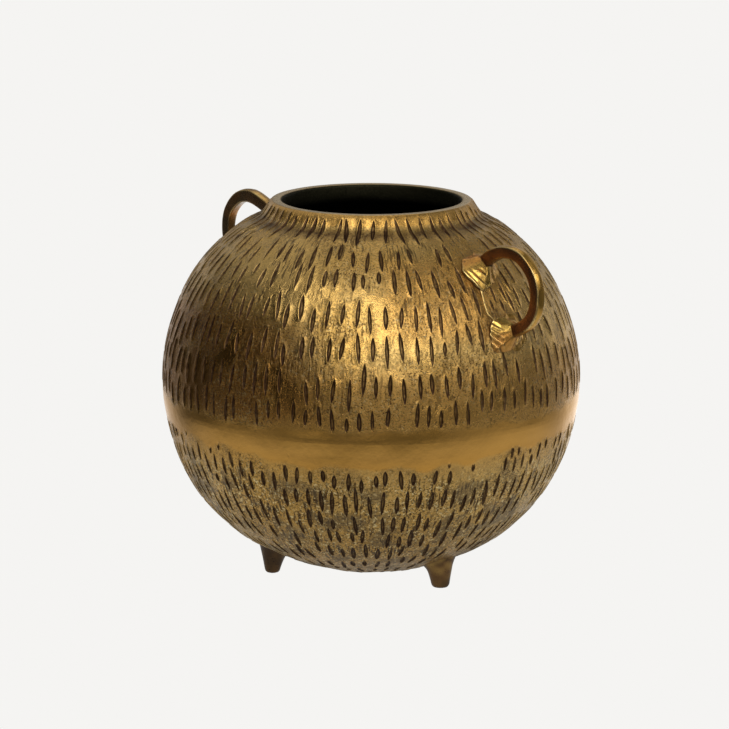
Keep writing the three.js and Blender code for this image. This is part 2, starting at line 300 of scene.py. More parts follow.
def mark_xy(m, x, v):
    """Local across (x) and along (v), mm, to (s, theta)."""
    s0, th0, a, b, dep, tilt = m
    s = s0 + v * math.cos(tilt) - x * math.sin(tilt)
    r = at(s)[0]
    return s, th0 + (x * math.cos(tilt) + v * math.sin(tilt)) / r


def local(m, s, th):
    s0, th0, a, b, dep, tilt = m
    d = (th - th0 + math.pi) % (2 * math.pi) - math.pi
    X = d * at(s)[0]
    V = s - s0
    return X * math.cos(tilt) - V * math.sin(tilt), X * math.sin(tilt) + V * math.cos(tilt)


LIP = 0.62


def foot_ring(m, extra=0.0):
    return mark_xy(m, LENS * (m[3] + LIP + extra) + 0.0, LONG * (m[2] + LIP * 1.1 + extra))


def inside_foot(m, s, th, extra):
    x, v = local(m, s, th)
    a = m[2] + LIP * 1.1 + extra
    b = m[3] + LIP + extra
    u = np.clip(np.abs(v) / a, 0, 1)
    return (np.abs(v) < a) & (np.abs(x) < b * (1 - u * u) ** 0.675 + 0.02)


def loop_marks():
    """The slanting cuts on the skin inside each handle loop, between the two lugs."""
    out = []
    for name, (az, lift) in HANDLES.items():
        side = -1.0 if name == "left" else 1.0
        mid = 0.5 * (ENDS[name]["upper"] + ENDS[name]["lower"])
        for b, ds, a, w, dep, tilt in ((-6.6, -3.6, 3.4, 0.95, 0.8, -0.06), (-2.6, 2.6, 5.2, 1.0, 0.9, 0.02), (1.0, -4.4, 4.6, 1.1, 1.0, -0.07),
                                       (5.6, 3.4, 6.6, 1.0, 0.9, 0.03), (9.0, -3.4, 7.4, 1.1, 1.0, -0.04)):
            s = mid + ds
            out.append([s, (az + side * b / float(at(s)[0])) % (2 * math.pi), a, w, dep, tilt * side])
    return out


def settle(marks, s_min, s_max, shortest=2.6, fixed=()):
    """Drops or shortens marks until none touch."""
    kept = [list(m) for m in fixed]
    for m in marks:
        if keep_out(np.array([m[0]]), np.array([m[1]]))[0]:
            continue
        tips = mark_xy(m, np.zeros(3), np.array([-m[2], 0, m[2]]) * 0.8)
        if keep_out(np.asarray(tips[0]), np.asarray(tips[1])).any():
            continue
        ok = False
        for attempt in range(6):
            near = [k for k in kept if abs(k[0] - m[0]) < k[2] + m[2] + 2.5 and abs((k[1] - m[1] + math.pi) % (2 * math.pi) - math.pi) * 0.9 * at(m[0])[0] < 8]
            ps, pt = foot_ring(m, 0.25)
            hit = None
            for k in near:
                qs, qt = foot_ring(k, 0.25)
                if inside_foot(k, ps, pt, 0.3).any() or inside_foot(m, qs, qt, 0.3).any():
                    hit = k
                    break
            if hit is None:
                ok = m[2] > shortest
                break
            sgn = 1 if m[0] > hit[0] else -1
            m[0] += sgn * 0.7
            m[2] -= 0.7
            if m[0] + m[2] + 1.0 > s_max or m[0] - m[2] - 1.0 < s_min:
                m[2] -= 0.7
        if ok:
            kept.append(m)
    return kept


def collar_patina_and_shade(s, th):
    """Darkening in the fillet below the collar and round the lugs and feet, 0 to 1: patina, and painted shade where the
    parts meet.
    """
    s, th = np.asarray(s, float), np.asarray(th, float)
    p = body_point(s, th)
    w = small_dents(p)
    mid = s_of_z(219.7)
    f = np.exp(-((s - mid) / 2.7) ** 2) * (0.46 + 0.16 * w)
    r = at(s)[0]
    for name, (az, lift) in HANDLES.items():
        d = ((th - az + math.pi) % (2 * math.pi) - math.pi) * r
        b = d * (-1 if name == "left" else 1)
        for which, sign in (("upper", -1), ("lower", 1)):
            a = (s - ENDS[name][which]) * sign
            q = np.hypot((a - 2.0) / 15.0, np.where(b < 0, b / 18.0, b / 13.0))
            f = np.maximum(f, 0.42 * np.exp(-np.clip(q - 0.92, 0, 9) * 7) * (q > 0.5))
    for az in FEET.values():
        d = ((th - az + math.pi) % (2 * math.pi) - math.pi) * r
        q = np.hypot(s - S_FOOT, d)
        f = np.maximum(f, 0.5 * np.exp(-np.clip(q - 10.5, 0, 99) / 2.6))
    return np.clip(f, 0, 1)


def shell_skin(mesh, sign, s_edge, s_far, n_edge, n_far, marks, pole):
    """The outside of one shell: an even scatter of points with every mark's rings let into it, triangulated in one conformal plane.
    sign is +1 for the upper shell and -1 for the lower one. Returns the vertex rings at the seam edge and at the far edge."""
    lo, hi = min(s_edge, s_far), max(s_edge, s_far)
    # conformal radius
    ss = np.linspace(s_edge, s_far, 4000)
    r = np.maximum(at(ss)[0], 1e-3)
    if pole:
        keep = r > 2.0
        ss, r = ss[keep], r[keep]
    lr = -np.r_[0, np.cumsum(np.abs(np.diff(ss)) * 0.5 * (1 / r[1:] + 1 / r[:-1]))]
    order = np.argsort(ss)
    xs, ys = ss[order], lr[order]

    def rho(s):
        return np.exp(np.interp(s, xs, ys))

    S, T = [], []
    edge_t = np.arange(n_edge) * 2 * math.pi / n_edge
    far_t = np.arange(n_far) * 2 * math.pi / n_far
    S.append(np.full(n_edge, s_edge)); T.append(edge_t)
    far_s = s_far
    if pole:
        far_s = s_of_r_low(6.0)
    S.append(np.full(n_far, far_s)); T.append(far_t)
    base = n_edge + n_far
    for m in marks:
        a, b = foot_ring(m)
        S.append(a); T.append(b)
    n_fixed = base + NR * len(marks)
    # filler rows
    fs, ft = [], []
    step = 2.35
    rows = int(abs(far_s - s_edge) / step)
    for j in range(1, rows):
        s = s_edge + (far_s - s_edge) * j / rows
        rr = float(at(s)[0])
        n = max(int(round(2 * math.pi * rr / 2.7)), 12)
        t = (np.arange(n) + (j % 2) * 0.5 + rng.uniform(-0.12, 0.12, n)) * 2 * math.pi / n
        fs.append(s + rng.uniform(-0.25, 0.25, n)); ft.append(t)
    fs = np.concatenate(fs); ft = np.concatenate(ft) % (2 * math.pi)
    bad = np.zeros(len(fs), bool)
    order = np.argsort(fs)
    fss = fs[order]
    for m in marks:
        i0, i1 = np.searchsorted(fss, [m[0] - m[2] - 3.5, m[0] + m[2] + 3.5])
        idx = order[i0:i1]
        bad[idx] |= inside_foot(m, fs[idx], ft[idx], 0.75)
    fs, ft = fs[~bad], ft[~bad]
    S.append(fs); T.append(ft)
    S = np.concatenate(S); T = np.concatenate(T)
    R = rho(S)
    xy = np.stack([R * np.cos(T), R * np.sin(T)], 1)
    edges = [(i, (i + 1) % n_edge) for i in range(n_edge)] + [(n_edge + i, n_edge + (i + 1) % n_far) for i in range(n_far)]
    for k in range(len(marks)):
        o = base + NR * k
        edges += [(o + i, o + (i + 1) % NR) for i in range(NR)]
    res = delaunay_2d_cdt([Vector(p) for p in xy.tolist()], edges, [], 0, 1e-9)
    vco, _, tris, vorig = res[0], res[1], res[2], res[3]
    src = np.array([o[0] if o else -1 for o in vorig])
    if (src < 0).any():
        extra = int((src < 0).sum())
        print("cdt made extra points", extra)
    tri = np.array([t for t in tris if len(t) == 3], int)
    tri = src[tri]
    tri = tri[(tri >= 0).all(1)]
    # drop what lies inside a mark's own ring, inside the far ring, and outside the edge ring
    owner = np.full(len(S), -1)
    owner[base:n_fixed] = np.repeat(np.arange(len(marks)), NR)
    o = owner[tri]
    inside = (o[:, 0] >= 0) & (o[:, 0] == o[:, 1]) & (o[:, 1] == o[:, 2])
    far = ((tri >= n_edge) & (tri < base)).all(1)
    out = (tri < n_edge).all(1)
    tri = tri[~(inside | far | out)]
    p2 = xy[tri]
    area = np.cross(p2[:, 1] - p2[:, 0], p2[:, 2] - p2[:, 0])
    flip = area < 0
    tri[flip] = tri[flip][:, ::-1]
    if sign < 0:
        tri = tri[:, ::-1]
    h = relief(S, T)
    P = body_point(S, T, h)
    g = ground(S, P)
    patina_and_shade = collar_patina_and_shade(S, T)
    ids = mesh.add(P, cav=patina_and_shade, worn=np.maximum(g, rubbed(S)), inside=0.0)
    mesh.f += [tuple(map(int, t)) for t in (tri + ids[0]).tolist()]
    # the marks' own rings
    K = len(marks)
    M = np.array(marks)
    rings = [(1.0, 0.0, 0.21, 0.10), (0.90, 0.0, -0.34, 0.92), (0.62, 0.0, -0.82, 1.0), (0.24, 0.0, -1.0, 0.58)]
    prev = ids[0] + base + np.arange(K)[:, None] * NR + np.arange(NR)[None]
    for t, _, depth, cav in rings:
        X = LENS[None] * (M[:, 3:4] * t) + (0.10 if t == 1.0 else 0) * np.sign(LENS)[None]
        V = LONG[None] * (M[:, 2:3] * (1 - (1 - t) * 0.72))
        ct, st = np.cos(M[:, 5:6]), np.sin(M[:, 5:6])
        s = M[:, 0:1] + V * ct - X * st
        rr = at(s)[0]
        th = M[:, 1:2] + (X * ct + V * st) / rr
        hh = relief(s.ravel(), th.ravel()).reshape(s.shape)
        Q = body_point(s.ravel(), th.ravel(), 0)
        gg = ground(s.ravel(), Q).reshape(s.shape)
        rough = 1.0 + 0.22 * rng.standard_normal(s.shape) * (0.35 if t > 0.9 else 1.0)
        if depth > 0:
            d = depth * (1 - gg) * rough
        else:
            # shallower to the ends, and ground away in the band
            end = 1 - 0.35 * np.abs(LONG)[None] ** 2 * (1 if t > 0.5 else 0.5)
            d = -np.maximum(-depth * M[:, 4:5] * end * rough - 1.25 * gg, 0.0)
        Q = body_point(s.ravel(), th.ravel(), (hh + d).ravel())
        c = np.where(d < -0.08, cav, 0.12 * (1 - gg)) if depth < 0 else 0.12 * (1 - gg)
        c = np.maximum(c * np.clip(1.15 - gg, 0, 1), collar_patina_and_shade(s.ravel(), th.ravel()).reshape(s.shape))
        reach = np.hypot(Q[:, 0], Q[:, 1])
        Q[:, :2] *= np.minimum(1.0, 127.42 / np.maximum(reach, 1e-6))[:, None]
        new = mesh.add(Q, cav=c.ravel(), worn=np.maximum(gg, rubbed(s)).ravel(), inside=0.0).reshape(K, NR)
        for i in range(NR):
            j = (i + 1) % NR
            q = np.stack([prev[:, i], prev[:, j], new[:, j], new[:, i]], 1)
            q = q[:, ::-1]
            mesh.f += [tuple(map(int, t)) for t in q.tolist()]
        prev = new
    # zip the innermost ring shut across its length
    half = NR // 2
    for i in range(half):
        a, b = i, i + 1
        c, d = NR - i - 1, (NR - i) % NR
        if i == 0:
            q = np.stack([prev[:, 0], prev[:, 1], prev[:, NR - 1]], 1)
        elif i == half - 1:
            q = np.stack([prev[:, a], prev[:, b], prev[:, d]], 1)
        else:
            q = np.stack([prev[:, a], prev[:, b], prev[:, c], prev[:, d]], 1)
        q = q[:, ::-1]
        mesh.f += [tuple(map(int, t)) for t in q.tolist()]
    if pole:
        c = mesh.add(body_point(np.array([S_LOW]), np.array([0.0]), 0), cav=0, worn=0, inside=0)[0]
        mesh.fan(ids[n_edge:base], c, flip=False)
    return ids[:n_edge], ids[n_edge:base]




def wall(s, r):
    belt = max(0.0, min(1.0, (18 - abs(s)) / 9.0))
    belt = belt * belt * (3 - 2 * belt)
    base = max(0.0, min(1.0, (60 - r) / 25.0)) if s < -60 else 0.0
    return WALL + (BELT - WALL) * belt + (BASE_WALL - WALL) * base


# ------------------------------------------------------------------ materials
def new_material(name):
    m = bpy.data.materials.new(name)
    m.use_nodes = True
    m.node_tree.nodes.clear()
    return m


class Nodes:
    def __init__(self, material):
        self.t = material.node_tree

    def new(self, kind, **props):
        n = self.t.nodes.new(kind)
        for k, v in props.items():
            setattr(n, k, v)
        return n

    def link(self, a, b):
        self.t.links.new(a, b)

    def coords(self):
        return self.new("ShaderNodeTexCoord").outputs["Object"]

    def noise(self, vec, scale, detail=4.0, rough=0.55, lac=2.0, distortion=0.0):
        n = self.new("ShaderNodeTexNoise")
        self.link(vec, n.inputs["Vector"])
        n.inputs["Scale"].default_value = scale
        n.inputs["Detail"].default_value = detail
        n.inputs["Roughness"].default_value = rough
        n.inputs["Lacunarity"].default_value = lac
        n.inputs["Distortion"].default_value = distortion
        return n.outputs["Fac"]

    def voronoi(self, vec, scale, feature="F1", out="Distance", rand=1.0):
        n = self.new("ShaderNodeTexVoronoi", feature=feature)
        self.link(vec, n.inputs["Vector"])
        n.inputs["Scale"].default_value = scale
        n.inputs["Randomness"].default_value = rand
        return n.outputs[out]

    def ramp(self, fac, lo, hi, a=0.0, b=1.0, smooth=True):
        n = self.new("ShaderNodeMapRange")
        n.interpolation_type = "SMOOTHSTEP" if smooth else "LINEAR"
        self.link(fac, n.inputs["Value"])
        n.inputs["From Min"].default_value = lo
        n.inputs["From Max"].default_value = hi
        n.inputs["To Min"].default_value = a
        n.inputs["To Max"].default_value = b
        return n.outputs["Result"]

    def math(self, op, a, b=None, clamp=False):
        n = self.new("ShaderNodeMath", operation=op, use_clamp=clamp)
        for i, x in enumerate((a, b)):
            if x is None:
                continue
            if isinstance(x, (int, float)):
                n.inputs[i].default_value = x
            else:
                self.link(x, n.inputs[i])
        return n.outputs[0]

    def mix(self, fac, a, b):
        n = self.new("ShaderNodeMix", data_type="RGBA")
        for sock, x in (("Factor", fac),):
            if isinstance(x, (int, float)):
                n.inputs[0].default_value = x
            else:
                self.link(x, n.inputs[0])
        for i, x in ((6, a), (7, b)):
            if isinstance(x, tuple):
                n.inputs[i].default_value = (*x, 1.0)
            else:
                self.link(x, n.inputs[i])
        return n.outputs[2]

    def attr(self, name):
        n = self.new("ShaderNodeAttribute", attribute_type="GEOMETRY", attribute_name=name)
        return n.outputs["Fac"]

    def bump(self, height, strength, distance, normal=None):
        n = self.new("ShaderNodeBump")
        n.inputs["Strength"].default_value = strength
        n.inputs["Distance"].default_value = distance
        self.link(height, n.inputs["Height"])
        if normal is not None:
            self.link(normal, n.inputs["Normal"])
        return n.outputs["Normal"]

    def finish(self, colour, rough, normal, metallic):
        b = self.new("ShaderNodeBsdfPrincipled")
        if isinstance(colour, tuple):
            b.inputs["Base Color"].default_value = (*colour, 1)
        else:
            self.link(colour, b.inputs["Base Color"])
        for sock, x in (("Roughness", rough), ("Metallic", metallic)):
            if isinstance(x, (int, float)):
                b.inputs[sock].default_value = x
            else:
                self.link(x, b.inputs[sock])
        if normal is not None:
            self.link(normal, b.inputs["Normal"])
        o = self.new("ShaderNodeOutputMaterial")
        self.link(b.outputs[0], o.inputs[0])


GOLD = (0.84, 0.545, 0.175)
GOLD_WARM = (0.77, 0.450, 0.110)
BAND = (0.79, 0.392, 0.068)
OLIVE = (0.34, 0.245, 0.115)
PATINA = (0.044, 0.024, 0.016)


def pits_of(N, P, scale):
    """Round pits of mixed size: 1 inside a pit, 0 outside."""
    v = N.new("ShaderNodeTexVoronoi", feature="F1")
    N.link(P, v.inputs["Vector"])
    v.inputs["Scale"].default_value = scale
    sep = N.new("ShaderNodeSeparateColor")
    N.link(v.outputs["Color"], sep.inputs[0])
    size = N.ramp(sep.outputs[0], 0.25, 1.0, 0.02, 0.46, smooth=False)
    gap = N.math("SUBTRACT", size, v.outputs["Distance"])
    return N.ramp(gap, 0.0, 0.10)


def shell_material():
    m = new_material("antique_brass_cast")
    N = Nodes(m)
    P = N.coords()
    cav, worn, inside = N.attr("cav"), N.attr("worn"), N.attr("inside")
    clean = N.math("SUBTRACT", 1.0, worn, clamp=True)
    # slow changes of tone
    big = N.noise(P, 13.0, 3.0, 0.5)
    mid = N.noise(P, 48.0, 4.0, 0.6)
    gold = N.mix(N.ramp(big, 0.36, 0.64), GOLD, GOLD_WARM)
    gold = N.mix(N.ramp(worn, 0.45, 1.0), gold, BAND)
    # a warm, darker brown patch on one shoulder: partly patina bloom, partly painted shade
    sep = N.new("ShaderNodeSeparateXYZ")
    N.link(P, sep.inputs[0])
    side = N.math("ADD", N.math("MULTIPLY", sep.outputs["X"], -0.19), N.math("MULTIPLY", sep.outputs["Y"], -0.98))
    bloom_and_painted_shade = N.math("MULTIPLY", N.ramp(side, 0.076, 0.112), N.math("MULTIPLY", N.ramp(sep.outputs["Z"], 0.112, 0.124), N.ramp(sep.outputs["Z"], 0.190, 0.165)))
    bloom_and_painted_shade = N.math("MULTIPLY", bloom_and_painted_shade, N.ramp(mid, 0.30, 0.52, 0.45, 1.0))
    warm = N.math("MULTIPLY", N.ramp(sep.outputs["Z"], 0.162, 0.138), N.ramp(sep.outputs["Z"], 0.078, 0.104))
    gold = N.mix(N.math("MULTIPLY", warm, 0.88), gold, (0.81, 0.442, 0.105))
    gold = N.mix(N.math("MULTIPLY", bloom_and_painted_shade, 0.92), gold, (0.55, 0.248, 0.048))
    flat = N.new("ShaderNodeVectorMath", operation="MULTIPLY")
    N.link(P, flat.inputs[0])
    flat.inputs[1].default_value = (1.0, 1.0, 0.0)
    unit = N.new("ShaderNodeVectorMath", operation="NORMALIZE")
    N.link(flat.outputs[0], unit.inputs[0])
    dot2 = N.new("ShaderNodeVectorMath", operation="DOT_PRODUCT")
    N.link(unit.outputs[0], dot2.inputs[0])
    dot2.inputs[1].default_value = (0.951, -0.309, 0.0)
    blush = N.math("MULTIPLY", N.ramp(dot2.outputs["Value"], 0.88, 0.985), N.math("MULTIPLY", N.ramp(sep.outputs["Z"], 0.158, 0.172), N.ramp(sep.outputs["Z"], 0.213, 0.202)))
    gold = N.mix(N.math("MULTIPLY", blush, 0.75), gold, (0.82, 0.430, 0.095))
    # where the casting skin shows through the polish
    skin_n = N.noise(P, 24.0, 5.0, 0.62, distortion=0.5)
    skin = N.ramp(skin_n, 0.42, 0.60)
    lower = N.ramp(N.math("ADD", sep.outputs["Z"], N.math("MULTIPLY", mid, 0.012)), 0.101, 0.080)
    skin = N.math("MAXIMUM", N.math("MULTIPLY", skin, 0.9), N.math("MULTIPLY", lower, N.ramp(skin_n, 0.30, 0.50)))
    skin = N.math("MULTIPLY", N.math("ADD", skin, 0.16), clean, clamp=True)
    # pits and grain
    pit = N.math("MAXIMUM", pits_of(N, P, 820.0), pits_of(N, P, 1350.0))
    grain = N.noise(P, 1250.0, 3.0, 0.65)
    worms = N.ramp(N.noise(P, 760.0, 3.0, 0.6), 0.53, 0.60)
    pit = N.math("MAXIMUM", pit, N.math("MULTIPLY", worms, N.ramp(sep.outputs["Z"], 0.100, 0.125, 0.85, 0.55)))
    pitmask = N.math("MULTIPLY", pit, skin, clamp=True)
    col = N.mix(N.math("MULTIPLY", skin, 0.10), gold, OLIVE)
    col = N.mix(N.math("MULTIPLY", N.ramp(mid, 0.38, 0.70), N.math("MULTIPLY", clean, 0.13)), col, OLIVE)
    col = N.mix(N.math("MULTIPLY", N.ramp(grain, 0.46, 0.72), N.math("ADD", 0.06, N.math("MULTIPLY", clean, 0.34))), col, (0.16, 0.10, 0.045))
    col = N.mix(N.math("MULTIPLY", pitmask, 0.88), col, PATINA)
    # fine streaks running down the wall between the cuts
    wide = N.new("ShaderNodeVectorMath", operation="LENGTH")
    N.link(flat.outputs[0], wide.inputs[0])
    usep = N.new("ShaderNodeSeparateXYZ")
    N.link(unit.outputs[0], usep.inputs[0])
    drawn = N.new("ShaderNodeCombineXYZ")
    N.link(N.math("MULTIPLY", usep.outputs["X"], 0.11), drawn.inputs["X"])
    N.link(N.math("MULTIPLY", usep.outputs["Y"], 0.11), drawn.inputs["Y"])
    N.link(N.math("MULTIPLY", N.math("SUBTRACT", sep.outputs["Z"], N.math("MULTIPLY", wide.outputs["Value"], N.ramp(sep.outputs["Z"], 0.08, 0.14, -1.0, 1.0))), 0.13), drawn.inputs["Z"])
    streak = N.ramp(N.noise(drawn.outputs[0], 640.0, 2.0, 0.5), 0.53, 0.60)
    streak = N.math("MULTIPLY", streak, N.ramp(N.noise(P, 60.0, 3.0, 0.6), 0.42, 0.56))
    streak = N.math("MULTIPLY", streak, N.math("MULTIPLY", clean, N.math("ADD", N.math("MULTIPLY", lower, 0.40), N.ramp(sep.outputs["Z"], 0.165, 0.205, 0.40, 0.62))), clamp=True)
    col = N.mix(streak, col, PATINA)
    # the lower half is mottled: dull patches, and bright crumbs between the pits
    patch = N.math("MULTIPLY", N.ramp(N.noise(P, 44.0, 5.0, 0.68, distortion=0.6), 0.48, 0.60), N.math("MULTIPLY", N.math("ADD", N.math("MULTIPLY", lower, 0.78), 0.14), clean), clamp=True)
    col = N.mix(N.math("MULTIPLY", patch, 0.66), col, (0.185, 0.136, 0.074))
    crumb = N.math("MULTIPLY", N.ramp(N.noise(P, 560.0, 3.0, 0.62), 0.56, 0.66), N.math("SUBTRACT", N.math("ADD", N.math("MULTIPLY", lower, 0.80), N.math("MULTIPLY", skin, 0.36)), N.math("MULTIPLY", patch, 0.5)), clamp=True)
    col = N.mix(crumb, col, (0.96, 0.76, 0.36))
    # the crease under the collar is darkened: dirt, and painted shade
    crease_dirt_and_shade = N.math("MULTIPLY", N.ramp(sep.outputs["Z"], 0.2162, 0.2180), N.ramp(sep.outputs["Z"], 0.2232, 0.2210))
    col = N.mix(N.math("MULTIPLY", crease_dirt_and_shade, N.ramp(mid, 0.30, 0.60, 0.62, 0.36)), col, (0.13, 0.075, 0.028))
    col = N.mix(N.math("MULTIPLY", N.attr("land"), 0.75), col, (0.78, 0.60, 0.33))
    # grooves hold patina, with a lighter streak here and there that is partly rubbed metal and partly painted
    # reflection; this mix also darkens the fillet under the collar and the skin round the lugs and feet, partly with
    # patina and partly with painted shade
    groove = N.ramp(cav, 0.14, 0.80)
    rub_and_glint = N.ramp(N.noise(P, 300.0, 3.0, 0.6), 0.46, 0.70)
    gcol = N.mix(N.math("MULTIPLY", rub_and_glint, 0.36), (0.052, 0.022, 0.010), (0.30, 0.19, 0.08))
    col = N.mix(N.math("MULTIPLY", groove, 0.96), col, gcol)
    col = N.mix(inside, col, (0.034, 0.031, 0.017))
    rough = N.math("ADD", 0.185, N.math("MULTIPLY", skin, 0.10))
    rough = N.math("ADD", rough, N.math("MULTIPLY", mid, 0.09))
    rough = N.math("ADD", rough, N.math("MULTIPLY", patch, 0.10))
    rough = N.math("ADD", rough, N.math("MULTIPLY", groove, 0.16))
    rough = N.math("ADD", rough, N.math("MULTIPLY", inside, 0.35), clamp=True)
    # bumps: fine hammering, then grain and pits
    fine = N.noise(P, 190.0, 3.0, 0.55)
    n1 = N.bump(fine, 0.45, 0.00032)
    h = N.math("MULTIPLY", grain, N.math("ADD", 0.10, N.math("MULTIPLY", clean, 0.62)))
    h = N.math("SUBTRACT", h, N.math("MULTIPLY", pitmask, 1.1))
    h = N.math("SUBTRACT", h, N.math("MULTIPLY", streak, 1.6))
    n2 = N.bump(h, 0.75, 0.00026, n1)
    metal = N.math("SUBTRACT", 1.0, N.math("MULTIPLY", groove, N.math("SUBTRACT", 0.18, N.math("MULTIPLY", inside, 0.18))), clamp=True)
    N.finish(col, rough, n2, metal)
    return m


def worked_material(name, gold, dark, red, rough, patina=0.5, m0=0.5, tips=False):
    """Brass that is dark all over and gold where it has been rubbed or ground. The point value bare says where."""
    m = new_material(name)
    N = Nodes(m)
    P = N.coords()
    bare, edge, cav = N.attr("bare"), N.attr("edge"), N.attr("cav")
    cloud = N.noise(P, 75.0, 4.0, 0.6)
    grain = N.noise(P, 900.0, 3.0, 0.65)
    back = N.mix(N.ramp(N.noise(P, 48.0, 3.0, 0.5), 0.42, 0.66), dark, red)
    amount = N.math("SUBTRACT", bare, N.math("MULTIPLY", N.ramp(cloud, 0.34, 0.70), patina), clamp=True)
    if tips:
        # the ends of the feet stay dark
        sep = N.new("ShaderNodeSeparateXYZ")
        N.link(P, sep.inputs[0])
        amount = N.math("MULTIPLY", amount, N.ramp(N.math("ADD", sep.outputs["Z"], N.math("MULTIPLY", cloud, 0.012)), 0.009, 0.022, 0.10, 1.0))
    col = N.mix(amount, back, gold)
    # pale metal where edge is set, on arrises and ridges: partly rubbed metal, partly painted highlight
    col = N.mix(N.math("MULTIPLY", edge, 0.9), col, (0.90, 0.66, 0.26))
    pit = N.math("MAXIMUM", pits_of(N, P, 700.0), N.math("MULTIPLY", N.ramp(grain, 0.54, 0.64), 0.6))
    pitmask = N.math("MULTIPLY", pit, N.ramp(cloud, 0.40, 0.62, 0.15, 0.75))
    col = N.mix(pitmask, col, PATINA)
    # dark where cav is set: patina in hollows, and painted shade where the parts meet
    col = N.mix(N.math("MULTIPLY", cav, 0.93), col, PATINA)
    r = N.math("ADD", rough, N.math("MULTIPLY", cloud, 0.14))
    r = N.math("SUBTRACT", r, N.math("MULTIPLY", edge, 0.06))
    r = N.math("ADD", r, N.math("MULTIPLY", cav, 0.25), clamp=True)
    n1 = N.bump(N.noise(P, 170.0, 3.0, 0.55), 0.5, 0.00035)
    h = N.math("SUBTRACT", N.math("MULTIPLY", grain, 0.5), pitmask)
    n2 = N.bump(h, 0.45, 0.00016, n1)
    metal = N.math("ADD", m0, N.math("MULTIPLY", N.math("MAXIMUM", amount, edge), 1.0 - m0), clamp=True)
    N.finish(col, r, n2, metal)
    return m


MAT_SHELL = shell_material()
MAT_HANDLE = worked_material("antique_brass_bar", (0.86, 0.490, 0.098), (0.19, 0.082, 0.034), (0.27, 0.115, 0.045), 0.17, 0.30, 0.78)
# the left bar's copy: duller gold and a greyer, lighter patina; the lighter patina is partly the bar's own tone and
# partly painted light for its shaded side
MAT_HANDLE_LEFT_PATINA_AND_FILL = worked_material("antique_brass_bar_left_patina_and_fill", (0.72, 0.43, 0.12), (0.20, 0.135, 0.070), (0.40, 0.200, 0.072), 0.20, 0.50, 0.85)
MAT_LUG = worked_material("ground_brass_lug", (0.90, 0.560, 0.130), (0.62, 0.300, 0.070), (0.74, 0.330, 0.070), 0.14, 0.30, 0.88)
MAT_FOOT = worked_material("antique_brass_foot", (0.70, 0.43, 0.125), (0.095, 0.055, 0.024), (0.22, 0.115, 0.040), 0.20, 0.66, 0.75, True)
MAT_FIX = worked_material("turned_brass", (0.62, 0.46, 0.20), (0.30, 0.22, 0.11), (0.40, 0.27, 0.12), 0.28, 0.4)

# ------------------------------------------------------------------ the shells
N_EDGE = 320
EDGE_T = np.arange(N_EDGE) * 2 * math.pi / N_EDGE


def ring_at(mesh, r, z, n, **attrs):
    t = np.arange(n) * 2 * math.pi / n
    return mesh.add(np.stack([r * np.cos(t), r * np.sin(t), np.full(n, z)], 1), **attrs)


def bridge(mesh, A, B, flip=False):
    """Triangles between two rings about Z with different counts, both starting at angle 0."""
    na, nb = len(A), len(B)
    i = j = 0
    while i < na or j < nb:
        a0, b0 = int(A[i % na]), int(B[j % nb])
        if j >= nb or (i < na and (i + 1) / na <= (j + 1) / nb):
            t = (a0, int(A[(i + 1) % na]), b0)
            i += 1
        else:
            t = (a0, int(B[(j + 1) % nb]), b0)
            j += 1
        mesh.f.append(t[::-1] if flip else t)


def inner_profile(lo, hi, count):
    s = np.linspace(lo, hi, count)
    r, z, nr, nz = at(s)
    w = np.array([wall(a, b) for a, b in zip(s, r)])
    return np.stack([r - nr * w, z - nz * w], 1)


def build_upper():
    mesh = Mesh()
    n_far = 220
    marks = settle(lay_marks(ROWS_UP, SEAM_HALF + 1, S_TOP - 0.6, 11), SEAM_HALF + 1, S_TOP - 0.4, 4.0, loop_marks())
    e, f = shell_skin(mesh, 1, SEAM_HALF, S_TOP, N_EDGE, n_far, marks, False)
    # over the rim and down inside
    prev = f
    rim = [(59.6, 229.93), (58.9, RIM_Z), (57.4, 229.97), (56.0, 229.96), (55.2, 229.85), (54.65, 229.55), (54.25, 229.0), (54.1, 228.2)]
    t = np.arange(n_far) * 2 * math.pi / n_far
    for i, (r, z) in enumerate(rim):
        wob = 0.05 * np.sin(3 * t + 1.0) + 0.03 * np.sin(7 * t)
        P = np.stack([(r + wob) * np.cos(t), (r + wob) * np.sin(t), np.full(n_far, z) - 0.03 * np.abs(np.sin(2 * t + i))], 1)
        cur = mesh.add(P, cav=0.10, worn=0.55, land=1.0 if i < 5 else 0.0, inside=0.0 if i < 4 else (0.35 if i == 4 else 1.0))
        mesh.strip(prev, cur)
        prev = cur
    n_in = 128
    inner = [(54.1, 225.0), (54.2, 222.0), (55.2, 219.8), (58.0, 218.3), (62.5, 217.1)]
    ip = inner_profile(10.0, s_of_z(214.8), 34)[::-1]
    ip = ip[ip[:, 0] > 66]
    inner += [tuple(x) for x in ip]
    inner.append((122.0, 110.4))
    first = True
    for r, z in inner:
        cur = ring_at(mesh, r, z, n_in, cav=0.0, worn=0.0, inside=1.0)
        if first:
            bridge(mesh, prev, cur)
            first = False
        else:
            mesh.strip(prev, cur)
        prev = cur
    # the seam's own face, turned in under the edge
    g = mesh.add(body_point(np.full(N_EDGE, SEAM_HALF), EDGE_T, relief(np.full(N_EDGE, SEAM_HALF), EDGE_T)), worn=1.0)
    mesh_in = ring_at(mesh, 124.9, SEAM_Z + 0.1, N_EDGE, inside=0.4)
    mesh.strip(mesh_in, g, flip=False)
    low = ring_at(mesh, 122.0, SEAM_Z + 0.12, n_in, inside=1.0)
    bridge(mesh, low, mesh_in, flip=False)
    mesh.strip(prev, low)
    return mesh.build("upper_shell_fine", slot="shell_brass", replaces=("upper_shell",), material=MAT_SHELL), marks


